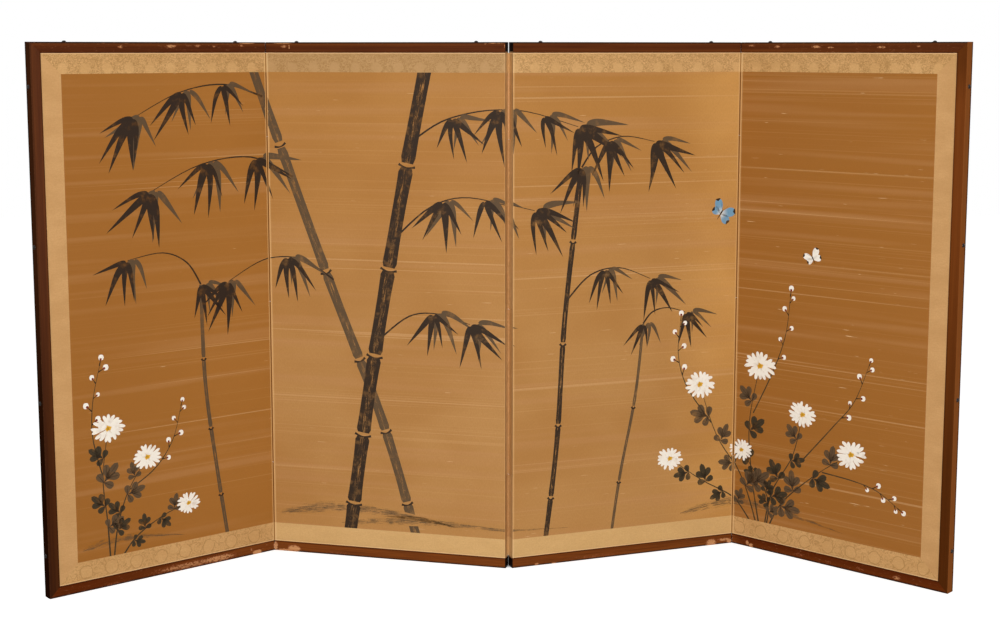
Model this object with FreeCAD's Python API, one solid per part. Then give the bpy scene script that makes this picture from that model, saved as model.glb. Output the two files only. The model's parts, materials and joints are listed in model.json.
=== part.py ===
import FreeCAD, Part
import math
import os
from collections import namedtuple

# A folding screen of four papered boards in lacquered battens, joined by paper hinges that alternate
# from front to back. Lengths are in millimetres and angles in degrees.
# Each board is made lying along X between its two fold lines, with its front towards -Y, and is then
# turned to its place in the zigzag. The origin is the middle of the footprint, on the floor.

# The whole screen
screen_height = 914.0
fold_pitch = 432.0
fold_gap = 3.0
rail_fold_gap = 1.0
fold_axis_play = 0.15
fold_1_bend = 53.0
fold_2_bend = 34.5
fold_3_bend = 62.0
second_board_heading = -15.0
overrun = 10.0

# Lacquered frame battens, each with a groove between two lips for the edge of the board
frame_depth = 20.0
frame_face = 18.0
frame_arris_radius = 1.5
frame_lip_thickness = 1.4
frame_lip_radius = 0.6
rail_end_radius = 1.0
groove_depth = 2.0
groove_play = 0.1

# Layers of a board over its lattice core, which takes the rest of the depth
lining_thickness = 1.0
facing_thickness = 0.5
back_paper_thickness = 0.5

# Cedar core frame and lattice
core_stile_width = 20.0
core_rail_width = 20.0
core_tenon_length = 12.0
core_tenon_shoulder = 3.0
lattice_bar_width = 12.0
lattice_tenon_length = 6.0
lattice_tenon_shoulder = 1.5
tenon_thickness = 5.0
mortise_spare = 0.5
joint_play = 0.05
upright_count = 3
crossbar_count = 8

# Brocade border and the paper hinges
brocade_width = 33.5
hinge_paper_thickness = 0.4
hinge_flange_width = 28.0
hinge_slit = 0.6
hinge_zone_shares = (1 / 6, 1 / 3, 1 / 3, 1 / 6)

# Forged iron studs, and the countersunk pins under the bottom rails
stud_head_radius = 3.6
stud_head_height = 2.3
stud_shoulder_radius = 2.9
stud_shoulder_height = 1.4
stud_crown_radius = 1.3
stud_facet_count = 16
shank_width = 2.5
shank_tip_width = 0.8
shank_length = 26.0
shank_play = 0.05
stud_fold_clearance = 0.5
stud_inset_at_fold = 54.0
stud_inset_at_end = 65.0
end_stud_inset = 71.5
end_stud_count = 4
pin_head_width = 5.2
pin_head_height = 1.8
pin_recess = 0.4

# Places worked out from the sizes above
front_of_facing = frame_lip_thickness + groove_play
board_depth = frame_depth - 2 * front_of_facing
core_depth = board_depth - 2 * lining_thickness - facing_thickness - back_paper_thickness
front_of_lining = front_of_facing + facing_thickness
front_of_core = front_of_lining + lining_thickness
middle_of_core = front_of_core + core_depth / 2
back_of_core = front_of_core + core_depth
back_of_lining = back_of_core + lining_thickness
back_of_paper = back_of_lining + back_paper_thickness
middle_of_frame = frame_depth / 2
groove_floor = frame_face - groove_depth
board_bottom = groove_floor
board_top = screen_height - groove_floor
border_height = groove_depth + brocade_width
end_set_back = stud_head_height + stud_fold_clearance
end_inset = end_set_back + groove_floor
fold_inset = fold_gap / 2
rail_inset = rail_fold_gap / 2

Vector = FreeCAD.Vector
Board = namedtuple("Board", "name left_is_end right_is_end left_is_valley right_is_valley")

BOARDS = (
    Board("panel_1", True, False, None, True),
    Board("panel_2", False, False, True, False),
    Board("panel_3", False, False, False, True),
    Board("panel_4", False, True, True, None),
)
SIDES = ("left", "right")


def block(x_span, y_span, z_span):
    """A solid between three pairs of planes."""
    corner = Vector(x_span[0], y_span[0], z_span[0])
    sizes = [high - low for low, high in (x_span, y_span, z_span)]
    return Part.makeBox(*sizes, corner)


def grown(span, play):
    """A span with play added at both ends."""
    return (span[0] - play, span[1] + play)


def about(middle, width):
    """A span of one width about its middle."""
    return (middle - width / 2, middle + width / 2)


def upright_plate(outline, y_span):
    """A plate with an outline of (x, z) points, between two Y planes."""
    points = [Vector(x, y_span[0], z) for x, z in outline]
    face = Part.Face(Part.makePolygon(points + points[:1]))
    return face.extrude(Vector(0, y_span[1] - y_span[0], 0))


def rounded_wire(corners):
    """A closed wire through (point, radius) corners, with a tangent arc at each rounded one."""
    stops = []
    for index, (point, radius) in enumerate(corners):
        to_last = (corners[index - 1][0] - point).normalize()
        to_next = (corners[(index + 1) % len(corners)][0] - point).normalize()
        half_turn = to_last.getAngle(to_next) / 2
        middle = point
        if radius:
            bisector = (to_last + to_next).normalize()
            middle = point + bisector * (radius / math.sin(half_turn) - radius)
        trim = radius / math.tan(half_turn)
        stops.append((point + to_last * trim, middle, point + to_next * trim, radius))
    edges = []
    for index, (start, middle, end, radius) in enumerate(stops):
        edges.append(Part.LineSegment(stops[index - 1][2], start).toShape())
        if radius:
            edges.append(Part.Arc(start, middle, end).toShape())
    return Part.Wire(edges)


def board_span(board):
    """Where the papered board runs along X, which under an end stile is into its groove."""
    left = end_inset if board.left_is_end else fold_inset
    right = end_inset if board.right_is_end else fold_inset
    return (left, fold_pitch - right)


def rail_span(board):
    """Where the rails run along X, to the outer face of an end stile, or nearly to the fold line."""
    left = end_set_back if board.left_is_end else rail_inset
    right = end_set_back if board.right_is_end else rail_inset
    return (left, fold_pitch - right)


def is_end(board, side):
    return board.left_is_end if side == "left" else board.right_is_end


def is_valley(board, side):
    return board.left_is_valley if side == "left" else board.right_is_valley


def from_edge(board, side, near, far):
    """An X span given as distances inward from one edge of the board."""
    left, right = board_span(board)
    return (left + near, left + far) if side == "left" else (right - far, right - near)


def crossbar_heights():
    """Middle of each lattice crossbar, at even spaces between the core rails."""
    low = board_bottom + core_rail_width
    high = board_top - core_rail_width
    step = (high - low - crossbar_count * lattice_bar_width) / (crossbar_count + 1) + lattice_bar_width
    return [low + step * (index + 1) - lattice_bar_width / 2 for index in range(crossbar_count)]


def upright_places(board):
    """Middle of each lattice upright, at even spaces between the core stiles."""
    left, right = grown(board_span(board), -core_stile_width)
    step = (right - left - upright_count * lattice_bar_width) / (upright_count + 1) + lattice_bar_width
    return [left + step * (index + 1) - lattice_bar_width / 2 for index in range(upright_count)]


def rail_stud_places(board):
    """Where along X the studs and pins go through the rails."""
    left = stud_inset_at_end if board.left_is_end else stud_inset_at_fold
    right = stud_inset_at_end if board.right_is_end else stud_inset_at_fold
    return [left, fold_pitch - right]


def end_stud_heights():
    """Heights of the studs through an end stile."""
    step = (screen_height - 2 * end_stud_inset) / (end_stud_count - 1)
    return [end_stud_inset + step * index for index in range(end_stud_count)]


def placed(shape, place, axis, turn):
    """A copy of a shape made at the origin, turned about an axis there and moved to its place."""
    copy = shape.copy()
    copy.rotate(Vector(), axis, turn)
    copy.translate(place)
    return copy


def tapered(high, wide, low, narrow):
    """A square solid about Z that narrows evenly from one height and width down to another."""
    outline = [(-wide / 2, high), (wide / 2, high), (narrow / 2, low), (-narrow / 2, low)]
    plate = upright_plate(outline, about(0, wide))
    return plate.common(placed(plate, Vector(), Vector(0, 0, 1), 90))


def shank(top, play=0):
    """The square shank of a forged nail that points down, or with a play the hole that it needs."""
    return tapered(top, shank_width + 2 * play, -shank_length - play, shank_tip_width + 2 * play)


def facet_ring(radius, height):
    """A level outline about Z with one corner for each row of hammered facets."""
    turns = [math.tau * index / stud_facet_count for index in range(stud_facet_count)]
    points = [Vector(radius * math.cos(turn), radius * math.sin(turn), height) for turn in turns]
    return Part.makePolygon(points + points[:1])


def stud():
    """A stud that points down, with the underside of its low hammered dome at the origin."""
    rim = facet_ring(stud_head_radius, 0)
    shoulder = facet_ring(stud_shoulder_radius, stud_shoulder_height)
    crown = facet_ring(stud_crown_radius, stud_head_height)
    head = Part.makeLoft([rim, shoulder, crown], True, True)
    return head.fuse(shank(0))


def pin(play=0):
    """A square-headed pin that points down, with its head a little under the origin."""
    top = -pin_recess
    under = top - pin_head_height
    head = tapered(top, pin_head_width + 2 * play, under, shank_width + 2 * play)
    return head.fuse(shank(under, play))


def stud_bore():
    return shank(0, shank_play)


def pin_bore():
    """The room that a pin takes with its play, open to the surface."""
    mouth = about(0, pin_head_width + 2 * shank_play)
    return pin(shank_play).fuse(block(mouth, mouth, (-pin_recess, 0)))


def top_fixings(board, shape):
    """One copy of a shape at each stud of the top rail."""
    return [
        placed(shape, Vector(x, middle_of_frame, screen_height), Vector(1, 0, 0), 0)
        for x in rail_stud_places(board)
    ]


def bottom_fixings(board, shape):
    """One copy of a shape at each pin of the bottom rail, pointing up."""
    return [
        placed(shape, Vector(x, middle_of_frame, 0), Vector(1, 0, 0), 180)
        for x in rail_stud_places(board)
    ]


def end_fixings(board, shape):
    """One copy of a shape at each stud of the end stile, or none on a board between two folds."""
    if board.left_is_end:
        x, turn = end_set_back, -90
    elif board.right_is_end:
        x, turn = fold_pitch - end_set_back, 90
    else:
        return []
    return [
        placed(shape, Vector(x, middle_of_frame, z), Vector(0, 1, 0), turn) for z in end_stud_heights()
    ]


def batten(length, start_is_mitred, end_is_mitred):
    """A grooved frame batten along X from the origin, outer face down. Ends at a fold are rounded."""
    lip = frame_lip_thickness
    section = rounded_wire(
        [
            (Vector(0, 0, 0), frame_arris_radius),
            (Vector(0, 0, frame_face), frame_lip_radius),
            (Vector(0, lip, frame_face), 0),
            (Vector(0, lip, groove_floor), 0),
            (Vector(0, frame_depth - lip, groove_floor), 0),
            (Vector(0, frame_depth - lip, frame_face), 0),
            (Vector(0, frame_depth, frame_face), frame_lip_radius),
            (Vector(0, frame_depth, 0), frame_arris_radius),
        ]
    )
    bar = Part.Face(section).extrude(Vector(length, 0, 0))
    start = -overrun if start_is_mitred else 0
    end = length + overrun if end_is_mitred else length
    start_radius = 0 if start_is_mitred else rail_end_radius
    end_radius = 0 if end_is_mitred else rail_end_radius
    plan = rounded_wire(
        [
            (Vector(start, 0, -overrun), start_radius),
            (Vector(end, 0, -overrun), end_radius),
            (Vector(end, frame_depth, -overrun), end_radius),
            (Vector(start, frame_depth, -overrun), start_radius),
        ]
    )
    bar = bar.common(Part.Face(plan).extrude(Vector(0, 0, frame_face + 2 * overrun)))
    beyond = frame_face + overrun
    waste_depth = (-overrun, frame_depth + overrun)
    if start_is_mitred:
        waste = [(-overrun, -overrun), (beyond, beyond), (-overrun, beyond)]
        bar = bar.cut(upright_plate(waste, waste_depth))
    if end_is_mitred:
        waste = [(length + overrun, -overrun), (length + overrun, beyond), (length - beyond, beyond)]
        bar = bar.cut(upright_plate(waste, waste_depth))
    return bar


def rail(board):
    """A board's bottom rail, before its bores."""
    left, right = rail_span(board)
    bar = batten(right - left, board.left_is_end, board.right_is_end)
    bar.translate(Vector(left, 0, 0))
    return bar


def bottom_rail(board):
    return rail(board).cut(bottom_fixings(board, pin_bore()))


def top_rail(board):
    """The same batten turned over, with its groove down."""
    bar = rail(board)
    bar.rotate(Vector(0, middle_of_frame, screen_height / 2), Vector(1, 0, 0), 180)
    return bar.cut(top_fixings(board, stud_bore()))


def end_stile(board):
    """The upright batten at the screen's outer end, mitred to both rails."""
    bar = batten(screen_height, True, True)
    if board.left_is_end:
        bar = placed(bar, Vector(end_set_back, 0, screen_height), Vector(0, 1, 0), 90)
    else:
        bar = placed(bar, Vector(fold_pitch - end_set_back, 0, 0), Vector(0, 1, 0), -90)
    return bar.cut(end_fixings(board, stud_bore()))


def core_stile(board, side):
    """One upright of the core frame, mortised for the core rails and the lattice crossbars."""
    full = from_edge(board, side, 0, core_stile_width)
    stile = block(full, (front_of_core, back_of_core), (board_bottom, board_top))
    thickness = grown(about(middle_of_core, tenon_thickness), joint_play)
    rail_heights = (board_bottom + core_rail_width / 2, board_top - core_rail_width / 2)
    mortises = []
    for heights, bar_width, shoulder, tenon_length in (
        (rail_heights, core_rail_width, core_tenon_shoulder, core_tenon_length),
        (crossbar_heights(), lattice_bar_width, lattice_tenon_shoulder, lattice_tenon_length),
    ):
        floor = core_stile_width - tenon_length - mortise_spare
        depth = from_edge(board, side, floor, core_stile_width)
        for height in heights:
            mouth = grown(about(height, bar_width), joint_play - shoulder)
            mortises.append(block(depth, thickness, mouth))
    bores = end_fixings(board, stud_bore()) if is_end(board, side) else []
    return stile.cut(mortises + bores)


def core_rail(board, is_top):
    """One rail of the core frame, tenoned into the stiles and mortised for the lattice uprights."""
    length = grown(board_span(board), -core_stile_width)
    low = board_top - core_rail_width if is_top else board_bottom
    high = low + core_rail_width
    thickness = about(middle_of_core, tenon_thickness)
    body = block(length, (front_of_core, back_of_core), (low, high))
    tenon = block(grown(length, core_tenon_length), thickness, grown((low, high), -core_tenon_shoulder))
    depth = lattice_tenon_length + mortise_spare
    mouth = (low, low + depth) if is_top else (high - depth, high)
    width = lattice_bar_width - 2 * lattice_tenon_shoulder
    mortises = [
        block(grown(about(x, width), joint_play), grown(thickness, joint_play), mouth)
        for x in upright_places(board)
    ]
    bores = top_fixings(board, stud_bore()) if is_top else bottom_fixings(board, pin_bore())
    return body.fuse(tenon).cut(mortises + bores)


def lattice_uprights(board):
    """Upright bars, notched behind where the crossbars pass."""
    low = board_bottom + core_rail_width
    high = board_top - core_rail_width
    notch_depth = (middle_of_core, back_of_core + overrun)
    notches = [grown(about(height, lattice_bar_width), joint_play) for height in crossbar_heights()]
    bars = []
    for x in upright_places(board):
        across = about(x, lattice_bar_width)
        bar = block(across, (front_of_core, back_of_core), (low, high))
        tenon = block(
            grown(across, -lattice_tenon_shoulder),
            about(middle_of_core, tenon_thickness),
            grown((low, high), lattice_tenon_length),
        )
        cuts = [block(grown(across, overrun), notch_depth, notch) for notch in notches]
        bars.append(bar.fuse(tenon).cut(cuts))
    return Part.makeCompound(bars)


def lattice_crossbars(board):
    """Crossbars, notched in front where the uprights pass."""
    left, right = grown(board_span(board), -core_stile_width)
    bars = []
    for height in crossbar_heights():
        across = about(height, lattice_bar_width)
        bar = block((left, right), (front_of_core, back_of_core), across)
        tenon = block(
            grown((left, right), lattice_tenon_length),
            about(middle_of_core, tenon_thickness),
            grown(across, -lattice_tenon_shoulder),
        )
        cuts = [
            block(
                grown(about(x, lattice_bar_width), joint_play),
                (front_of_core - overrun, middle_of_core),
                grown(across, overrun),
            )
            for x in upright_places(board)
        ]
        bars.append(bar.fuse(tenon).cut(cuts))
    return Part.makeCompound(bars)


def hinge_zones():
    """The (low, high) heights of the hinge papers, from the top rail down, with a slit between them."""
    zones = []
    high = screen_height - frame_face
    for share in hinge_zone_shares:
        low = high - share * (screen_height - 2 * frame_face)
        zones.append((low + hinge_slit / 2, high - hinge_slit / 2))
        high = low
    return zones


def hinge_duty(board, side, zone_index):
    """Which of (front flange, edge leaf, back flange) a hinge paper has on this edge in this zone."""
    starts_in_front = (zone_index % 2 == 0) == (side == "right")
    return (starts_in_front, starts_in_front != is_valley(board, side), not starts_in_front)


def edge_plate(board, side, outline, z_span):
    """A plate with an outline of (inward distance from one edge of the board, y) points."""
    left, right = board_span(board)
    points = [Vector(left + u if side == "left" else right - u, y, z_span[0]) for u, y in outline]
    face = Part.Face(Part.makePolygon(points + points[:1]))
    return face.extrude(Vector(0, 0, z_span[1] - z_span[0]))


def hinge_papers(board, side):
    """The hinge papers on one edge: flanges let into the linings, leaves round the edge, and the free
    spans that reach across half of the fold gap to the crease."""
    thickness = hinge_paper_thickness
    to_crease = fold_axis_play - fold_inset
    papers = []
    for index, zone in enumerate(hinge_zones()):
        in_front, on_edge, behind = hinge_duty(board, side, index)
        flange = from_edge(board, side, -thickness, hinge_flange_width)
        parts = []
        if in_front:
            parts.append(block(flange, (front_of_lining, front_of_lining + thickness), zone))
        if behind:
            parts.append(block(flange, (back_of_lining - thickness, back_of_lining), zone))
        if on_edge:
            leaf = from_edge(board, side, -thickness, 0)
            parts.append(block(leaf, (front_of_lining, back_of_lining), zone))
        if is_valley(board, side):
            root, root_side, crease, crease_side = front_of_lining, thickness, 0, thickness
        else:
            root, root_side, crease, crease_side = back_of_lining, -thickness, frame_depth, -thickness
        span = [
            (-thickness, root),
            (-thickness, root + root_side),
            (to_crease, crease + crease_side),
            (to_crease, crease),
        ]
        parts.append(edge_plate(board, side, span, zone))
        paper = parts[0]
        for part in parts[1:]:
            paper = paper.fuse(part)
        papers.append(paper.removeSplitter())
    return Part.makeCompound(papers)


def turned_edges(board, z_span, at_valleys):
    """Strips of a covering turned round the fold edges, between the leaves of the hinge papers.

    The back paper is turned forwards where the fold closes forwards, and the facing backwards at
    the other fold. Each strip stops at the hinge paper that lies under the covering's far side.
    """
    depth = (front_of_lining, back_of_lining - hinge_paper_thickness)
    if at_valleys:
        depth = (front_of_lining + hinge_paper_thickness, back_of_lining)
    strips = []
    for side in SIDES:
        if is_end(board, side) or is_valley(board, side) != at_valleys:
            continue
        for index, (zone_low, zone_high) in enumerate(hinge_zones()):
            low, high = max(zone_low, z_span[0]), min(zone_high, z_span[1])
            if hinge_duty(board, side, index)[1] or high <= low:
                continue
            strips.append(block(from_edge(board, side, -hinge_paper_thickness, 0), depth, (low, high)))
    return strips


def with_turned_edges(board, sheet, z_span, at_valleys=False):
    strips = turned_edges(board, z_span, at_valleys)
    return sheet.fuse(strips).removeSplitter() if strips else sheet


def facing_span(board, inset_at_end):
    """Where a facing runs along X: round each fold edge, or up to an inset at the end stile."""
    left, right = board_span(board)
    left += inset_at_end if board.left_is_end else -hinge_paper_thickness
    right -= inset_at_end if board.right_is_end else -hinge_paper_thickness
    return (left, right)


def painting_silk(board):
    """The silk face within the brocade border."""
    z_span = (board_bottom + border_height, board_top - border_height)
    sheet = block(facing_span(board, border_height), (front_of_facing, front_of_lining), z_span)
    return with_turned_edges(board, sheet, z_span)


def brocade_bands(board):
    """The top and bottom borders, mitred where they meet the side border."""
    outer_left, outer_right = facing_span(board, 0)
    inner_left, inner_right = facing_span(board, border_height)
    bands = []
    for outer, inner in (
        (board_bottom, board_bottom + border_height),
        (board_top, board_top - border_height),
    ):
        outline = [(outer_left, outer), (inner_left, inner), (inner_right, inner), (outer_right, outer)]
        sheet = upright_plate(outline, (front_of_facing, front_of_lining))
        bands.append(with_turned_edges(board, sheet, (min(outer, inner), max(outer, inner))))
    return Part.makeCompound(bands)


def side_brocade(board):
    """The upright border beside the end stile, mitred to the bands."""
    left, right = board_span(board)
    outer, inner = (left, left + border_height) if board.left_is_end else (right, right - border_height)
    low, high = board_bottom + border_height, board_top - border_height
    outline = [(outer, board_bottom), (inner, low), (inner, high), (outer, board_top)]
    return upright_plate(outline, (front_of_facing, front_of_lining))


def lining(board, is_front):
    """The pasted paper layers over the lattice, rebated for the flanges of the hinge papers."""
    y_span = (front_of_lining, front_of_core) if is_front else (back_of_core, back_of_lining)
    sheet = block(board_span(board), y_span, (board_bottom, board_top))
    rebate = (
        (front_of_lining - overrun, front_of_lining + hinge_paper_thickness)
        if is_front
        else (back_of_lining - hinge_paper_thickness, back_of_lining + overrun)
    )
    rebates = []
    for side in SIDES:
        if is_end(board, side):
            continue
        for index, zone in enumerate(hinge_zones()):
            in_front, on_edge, behind = hinge_duty(board, side, index)
            if in_front if is_front else behind:
                rebates.append(block(from_edge(board, side, -overrun, hinge_flange_width), rebate, zone))
    return sheet.cut(rebates)


def back_paper(board):
    """The plain paper over the whole back of a board."""
    z_span = (board_bottom, board_top)
    sheet = block(facing_span(board, 0), (back_of_lining, back_of_paper), z_span)
    return with_turned_edges(board, sheet, z_span, at_valleys=True)


def board_nodes(board):
    """Every node of one board, made at its own place along X."""
    name = board.name
    nodes = {
        f"{name}_core_stiles": Part.makeCompound([core_stile(board, side) for side in SIDES]),
        f"{name}_core_rails": Part.makeCompound([core_rail(board, is_top) for is_top in (False, True)]),
        f"{name}_lattice_uprights": lattice_uprights(board),
        f"{name}_lattice_crossbars": lattice_crossbars(board),
        f"{name}_front_lining": lining(board, True),
        f"{name}_back_lining": lining(board, False),
        f"{name}_painting_silk": painting_silk(board),
        f"{name}_brocade_bands": brocade_bands(board),
        f"{name}_back_paper": back_paper(board),
        f"{name}_top_rail": top_rail(board),
        f"{name}_bottom_rail": bottom_rail(board),
        f"{name}_frame_studs": Part.makeCompound(
            top_fixings(board, stud()) + end_fixings(board, stud()) + bottom_fixings(board, pin())
        ),
    }
    for side in SIDES:
        if is_end(board, side):
            nodes[f"{name}_end_stile"] = end_stile(board)
            nodes[f"{name}_side_brocade"] = side_brocade(board)
        else:
            nodes[f"{name}_{side}_hinge_papers"] = hinge_papers(board, side)
    return nodes


def moved(x, y):
    return FreeCAD.Placement(Vector(x, y, 0), FreeCAD.Rotation())


def turned(angle):
    return FreeCAD.Placement(Vector(), FreeCAD.Rotation(Vector(0, 0, 1), angle))


def zigzag():
    """The standing place of each board and of each fold line, worked out along the zigzag from board 2.

    A fold that closes forwards turns about a line just before the battens, and one that closes
    backwards about a line just behind them, so that folded boards lie a hair apart.
    """
    before = -fold_axis_play
    behind = frame_depth + fold_axis_play
    second = turned(second_board_heading)
    first = second * moved(0, before) * turned(fold_1_bend) * moved(-fold_pitch, -before)
    third = second * moved(fold_pitch, behind) * turned(fold_2_bend) * moved(0, -behind)
    fourth = third * moved(fold_pitch, before) * turned(-fold_3_bend) * moved(0, -before)
    folds = {
        "fold_1": second.multVec(Vector(0, before, 0)),
        "fold_2": second.multVec(Vector(fold_pitch, behind, 0)),
        "fold_3": third.multVec(Vector(fold_pitch, before, 0)),
    }
    return (first, second, third, fourth), folds


def standing(shape, placement):
    copy = shape.copy()
    copy.Placement = placement * copy.Placement
    return copy


places, folds = zigzag()
nodes = {}
for board, placement in zip(BOARDS, places):
    for node, shape in board_nodes(board).items():
        nodes[node] = standing(shape, placement)

footprint = Part.makeCompound(list(nodes.values())).BoundBox
to_origin = Vector(-footprint.Center.x, -footprint.Center.y, 0)

os.makedirs("parts", exist_ok=True)
for node, shape in nodes.items():
    shape.translate(to_origin)
    shape.exportStep(f"parts/{node}.step")

for name, point in folds.items():
    print(name, *(round(value, 4) for value in point + to_origin))
print("size", *(round(value, 3) for value in (footprint.XLength, footprint.YLength, footprint.ZLength)))
print("nodes", len(nodes))
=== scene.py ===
import json
import math
import random
from collections import namedtuple

import bmesh
import bpy
from mathutils import Matrix, Vector, noise


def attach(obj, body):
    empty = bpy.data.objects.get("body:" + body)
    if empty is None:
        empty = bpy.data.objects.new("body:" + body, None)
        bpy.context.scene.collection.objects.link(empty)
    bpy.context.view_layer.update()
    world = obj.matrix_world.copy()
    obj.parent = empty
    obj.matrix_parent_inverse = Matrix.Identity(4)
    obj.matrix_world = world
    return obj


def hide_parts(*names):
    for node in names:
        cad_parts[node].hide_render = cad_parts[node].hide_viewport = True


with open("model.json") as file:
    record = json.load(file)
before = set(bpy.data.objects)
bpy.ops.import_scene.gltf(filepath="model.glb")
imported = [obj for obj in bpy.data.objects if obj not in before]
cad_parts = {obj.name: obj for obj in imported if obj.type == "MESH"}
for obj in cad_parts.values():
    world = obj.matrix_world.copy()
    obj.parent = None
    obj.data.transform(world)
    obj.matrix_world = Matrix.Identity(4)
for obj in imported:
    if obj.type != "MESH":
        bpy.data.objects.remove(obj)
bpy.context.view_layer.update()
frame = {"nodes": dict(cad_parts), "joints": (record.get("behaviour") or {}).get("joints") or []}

# ---------------------------------------------------------------------------------------------
# The camera stands square to the middle of the screen, a little under its top edge, and looks
# slightly down.
camera = bpy.data.objects.new("camera", bpy.data.cameras.new("camera"))
camera.data.lens = 58.86
camera.data.shift_y = -0.05
camera.location = (-0.0365, -2.7754, 0.9046)
camera.rotation_euler = (math.radians(82.48), 0, math.radians(-0.75))
bpy.context.scene.collection.objects.link(camera)
bpy.context.scene.camera = camera

# ---------------------------------------------------------------------------------------------
# Lattice core and linings of the four boards. Bars of straight-grained cedar are half lapped and
# tenoned into a frame, and layers of mulberry paper are pasted over both faces. All of it is
# closed in, so the frame's own nodes stay and only get their finish.
screen_height = 0.914
board_width = 0.432
frame_depth = 0.020
fold_line_play = 0.00015
Board = namedtuple("Board", "name index heading place left_is_end right_is_end left_is_valley right_is_valley")


def standing(heading, own_point, fold_point):
    """The place of a board that is turned to a heading with one of its own points on a fold line."""
    turn = Matrix.Rotation(heading, 4, "Z")
    return Matrix.Translation(fold_point) @ turn @ Matrix.Translation(-own_point)


folds = {joint["name"]: Vector((*joint["pos_m"][:2], 0)) for joint in frame["joints"]}
bends = {joint["name"]: math.radians(-joint["range_deg"][0]) for joint in frame["joints"]}
along_second = folds["fold_2"] - folds["fold_1"]
slant = math.atan2(frame_depth + 2 * fold_line_play, board_width)
second_heading = math.atan2(along_second.y, along_second.x) - slant
third_heading = second_heading + bends["fold_2"]
before, behind = -fold_line_play, frame_depth + fold_line_play
boards = []
for index, (heading, own_point, fold, left, right) in enumerate((
    (second_heading + bends["fold_1"], (board_width, before, 0), "fold_1", None, True),
    (second_heading, (0, before, 0), "fold_1", True, False),
    (third_heading, (0, behind, 0), "fold_2", False, True),
    (third_heading - bends["fold_3"], (0, before, 0), "fold_3", True, None),
)):
    place = standing(heading, Vector(own_point), folds[fold])
    boards.append(Board(f"panel_{index + 1}", index, heading, place, left is None, right is None, left, right))


def tone(red, green, blue):
    """A colour written as a screen shows it, from 0 to 255."""
    parts = [part / 255 for part in (red, green, blue)]
    return [part / 12.92 if part < 0.04 else ((part + 0.055) / 1.055) ** 2.4 for part in parts] + [1]


class Value:
    """What a finish works out at each point, as one node gives it. Sums with it add nodes to the
    finish in work."""

    tree = None

    def __init__(self, socket):
        self.socket = socket

    def __add__(self, other):
        return maths("ADD", self, other)

    def __radd__(self, other):
        return maths("ADD", other, self)

    def __sub__(self, other):
        return maths("SUBTRACT", self, other)

    def __rsub__(self, other):
        return maths("SUBTRACT", other, self)

    def __mul__(self, other):
        return maths("MULTIPLY", self, other)

    def __truediv__(self, other):
        return maths("DIVIDE", self, other)

    def __abs__(self):
        return maths("ABSOLUTE", self)


def new_finish(name, roughness, specular=0.5):
    """A material with its plain values set, and its shader. It becomes the finish in work."""
    material = bpy.data.materials.new(name)
    material.use_nodes = True
    Value.tree = material.node_tree
    shader = material.node_tree.nodes["Principled BSDF"]
    shader.inputs["Roughness"].default_value = roughness
    shader.inputs["Specular IOR Level"].default_value = specular
    return material, shader


def plug(socket, value):
    """Links an input to what another node gives, or sets it to a plain value."""
    if isinstance(value, Value):
        socket.id_data.links.new(value.socket, socket)
    else:
        socket.default_value = value


def new_node(kind, **values):
    """A node in the finish in work, with values for inputs such as from_min."""
    made = Value.tree.nodes.new(f"ShaderNode{kind}")
    for name, value in values.items():
        plug(made.inputs[name.replace("_", " ").title()], value)
    return made


def maths(operation, first, second=0.0):
    made = new_node("Math")
    made.operation = operation
    plug(made.inputs[0], first)
    plug(made.inputs[1], second)
    return Value(made.outputs[0])


def own_place():
    return Value(new_node("TexCoord").outputs["Object"])


def measured(vector, x, y, z, turn=0.0, start=(0, 0, 0)):
    """A vector in units of three lengths, along axes turned about Z, so a pattern takes that size."""
    made = new_node("Mapping", vector=vector, scale=(x, y, z), rotation=(0, 0, turn), location=start)
    made.vector_type = "TEXTURE"
    return Value(made.outputs[0])


def mottle(vector, detail=2.0, roughness=0.5, distortion=0.0):
    """Soft irregular spots of about one unit, as a value about 0.5."""
    made = new_node(
        "TexNoise", vector=vector, scale=1, detail=detail, roughness=roughness, distortion=distortion
    )
    return Value(made.outputs["Fac"])


def stepped(value, low, high):
    """A value turned to 0 at one level and 1 at another, smoothly between them."""
    made = new_node("MapRange", value=value, from_min=low, from_max=high)
    made.interpolation_type = "SMOOTHSTEP"
    return Value(made.outputs[0])


def blended(share, first, second):
    """A colour that lies some share of the way from a first one to a second."""
    made = new_node("Mix")
    made.data_type = "RGBA"
    for index, value in ((0, share), (6, first), (7, second)):
        plug(made.inputs[index], value)
    return Value(made.outputs[2])


def raised(shader, height, distance, strength=1.0):
    """Gives the surface a relief of that height in metres."""
    made = new_node("Bump", distance=distance, strength=strength, height=height)
    plug(shader.inputs["Normal"], Value(made.outputs[0]))


def cedar(name, heading, is_upright):
    """Bare cedar with its grain along a bar, and growth rings a few millimetres apart."""
    material, shader = new_finish(name, 0.7, 0.3)
    own = own_place()
    lengths = (0.0035, 0.0035, 0.28) if is_upright else (0.28, 0.0035, 0.0035)
    grain = mottle(measured(own, *lengths, turn=heading), 4, 0.6, 0.4)
    patches = mottle(measured(own, *[length * 12 for length in lengths], turn=heading))
    wood = blended(stepped(grain, 0.35, 0.7), tone(196, 150, 104), tone(150, 101, 62))
    wood = blended(patches * 0.5, wood, tone(206, 168, 124))
    plug(shader.inputs["Base Color"], wood)
    raised(shader, grain, 0.0002, 0.6)
    return material


lining_paper, shader = new_finish("lining_paper", 0.85, 0.2)
own = own_place()
fibres = mottle(measured(own, 0.004, 0.004, 0.0006), 4, 0.6, 2)
paper = blended(stepped(fibres, 0.35, 0.7), tone(206, 184, 148), tone(178, 152, 114))
plug(shader.inputs["Base Color"], paper)
raised(shader, fibres, 0.0001)

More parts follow.
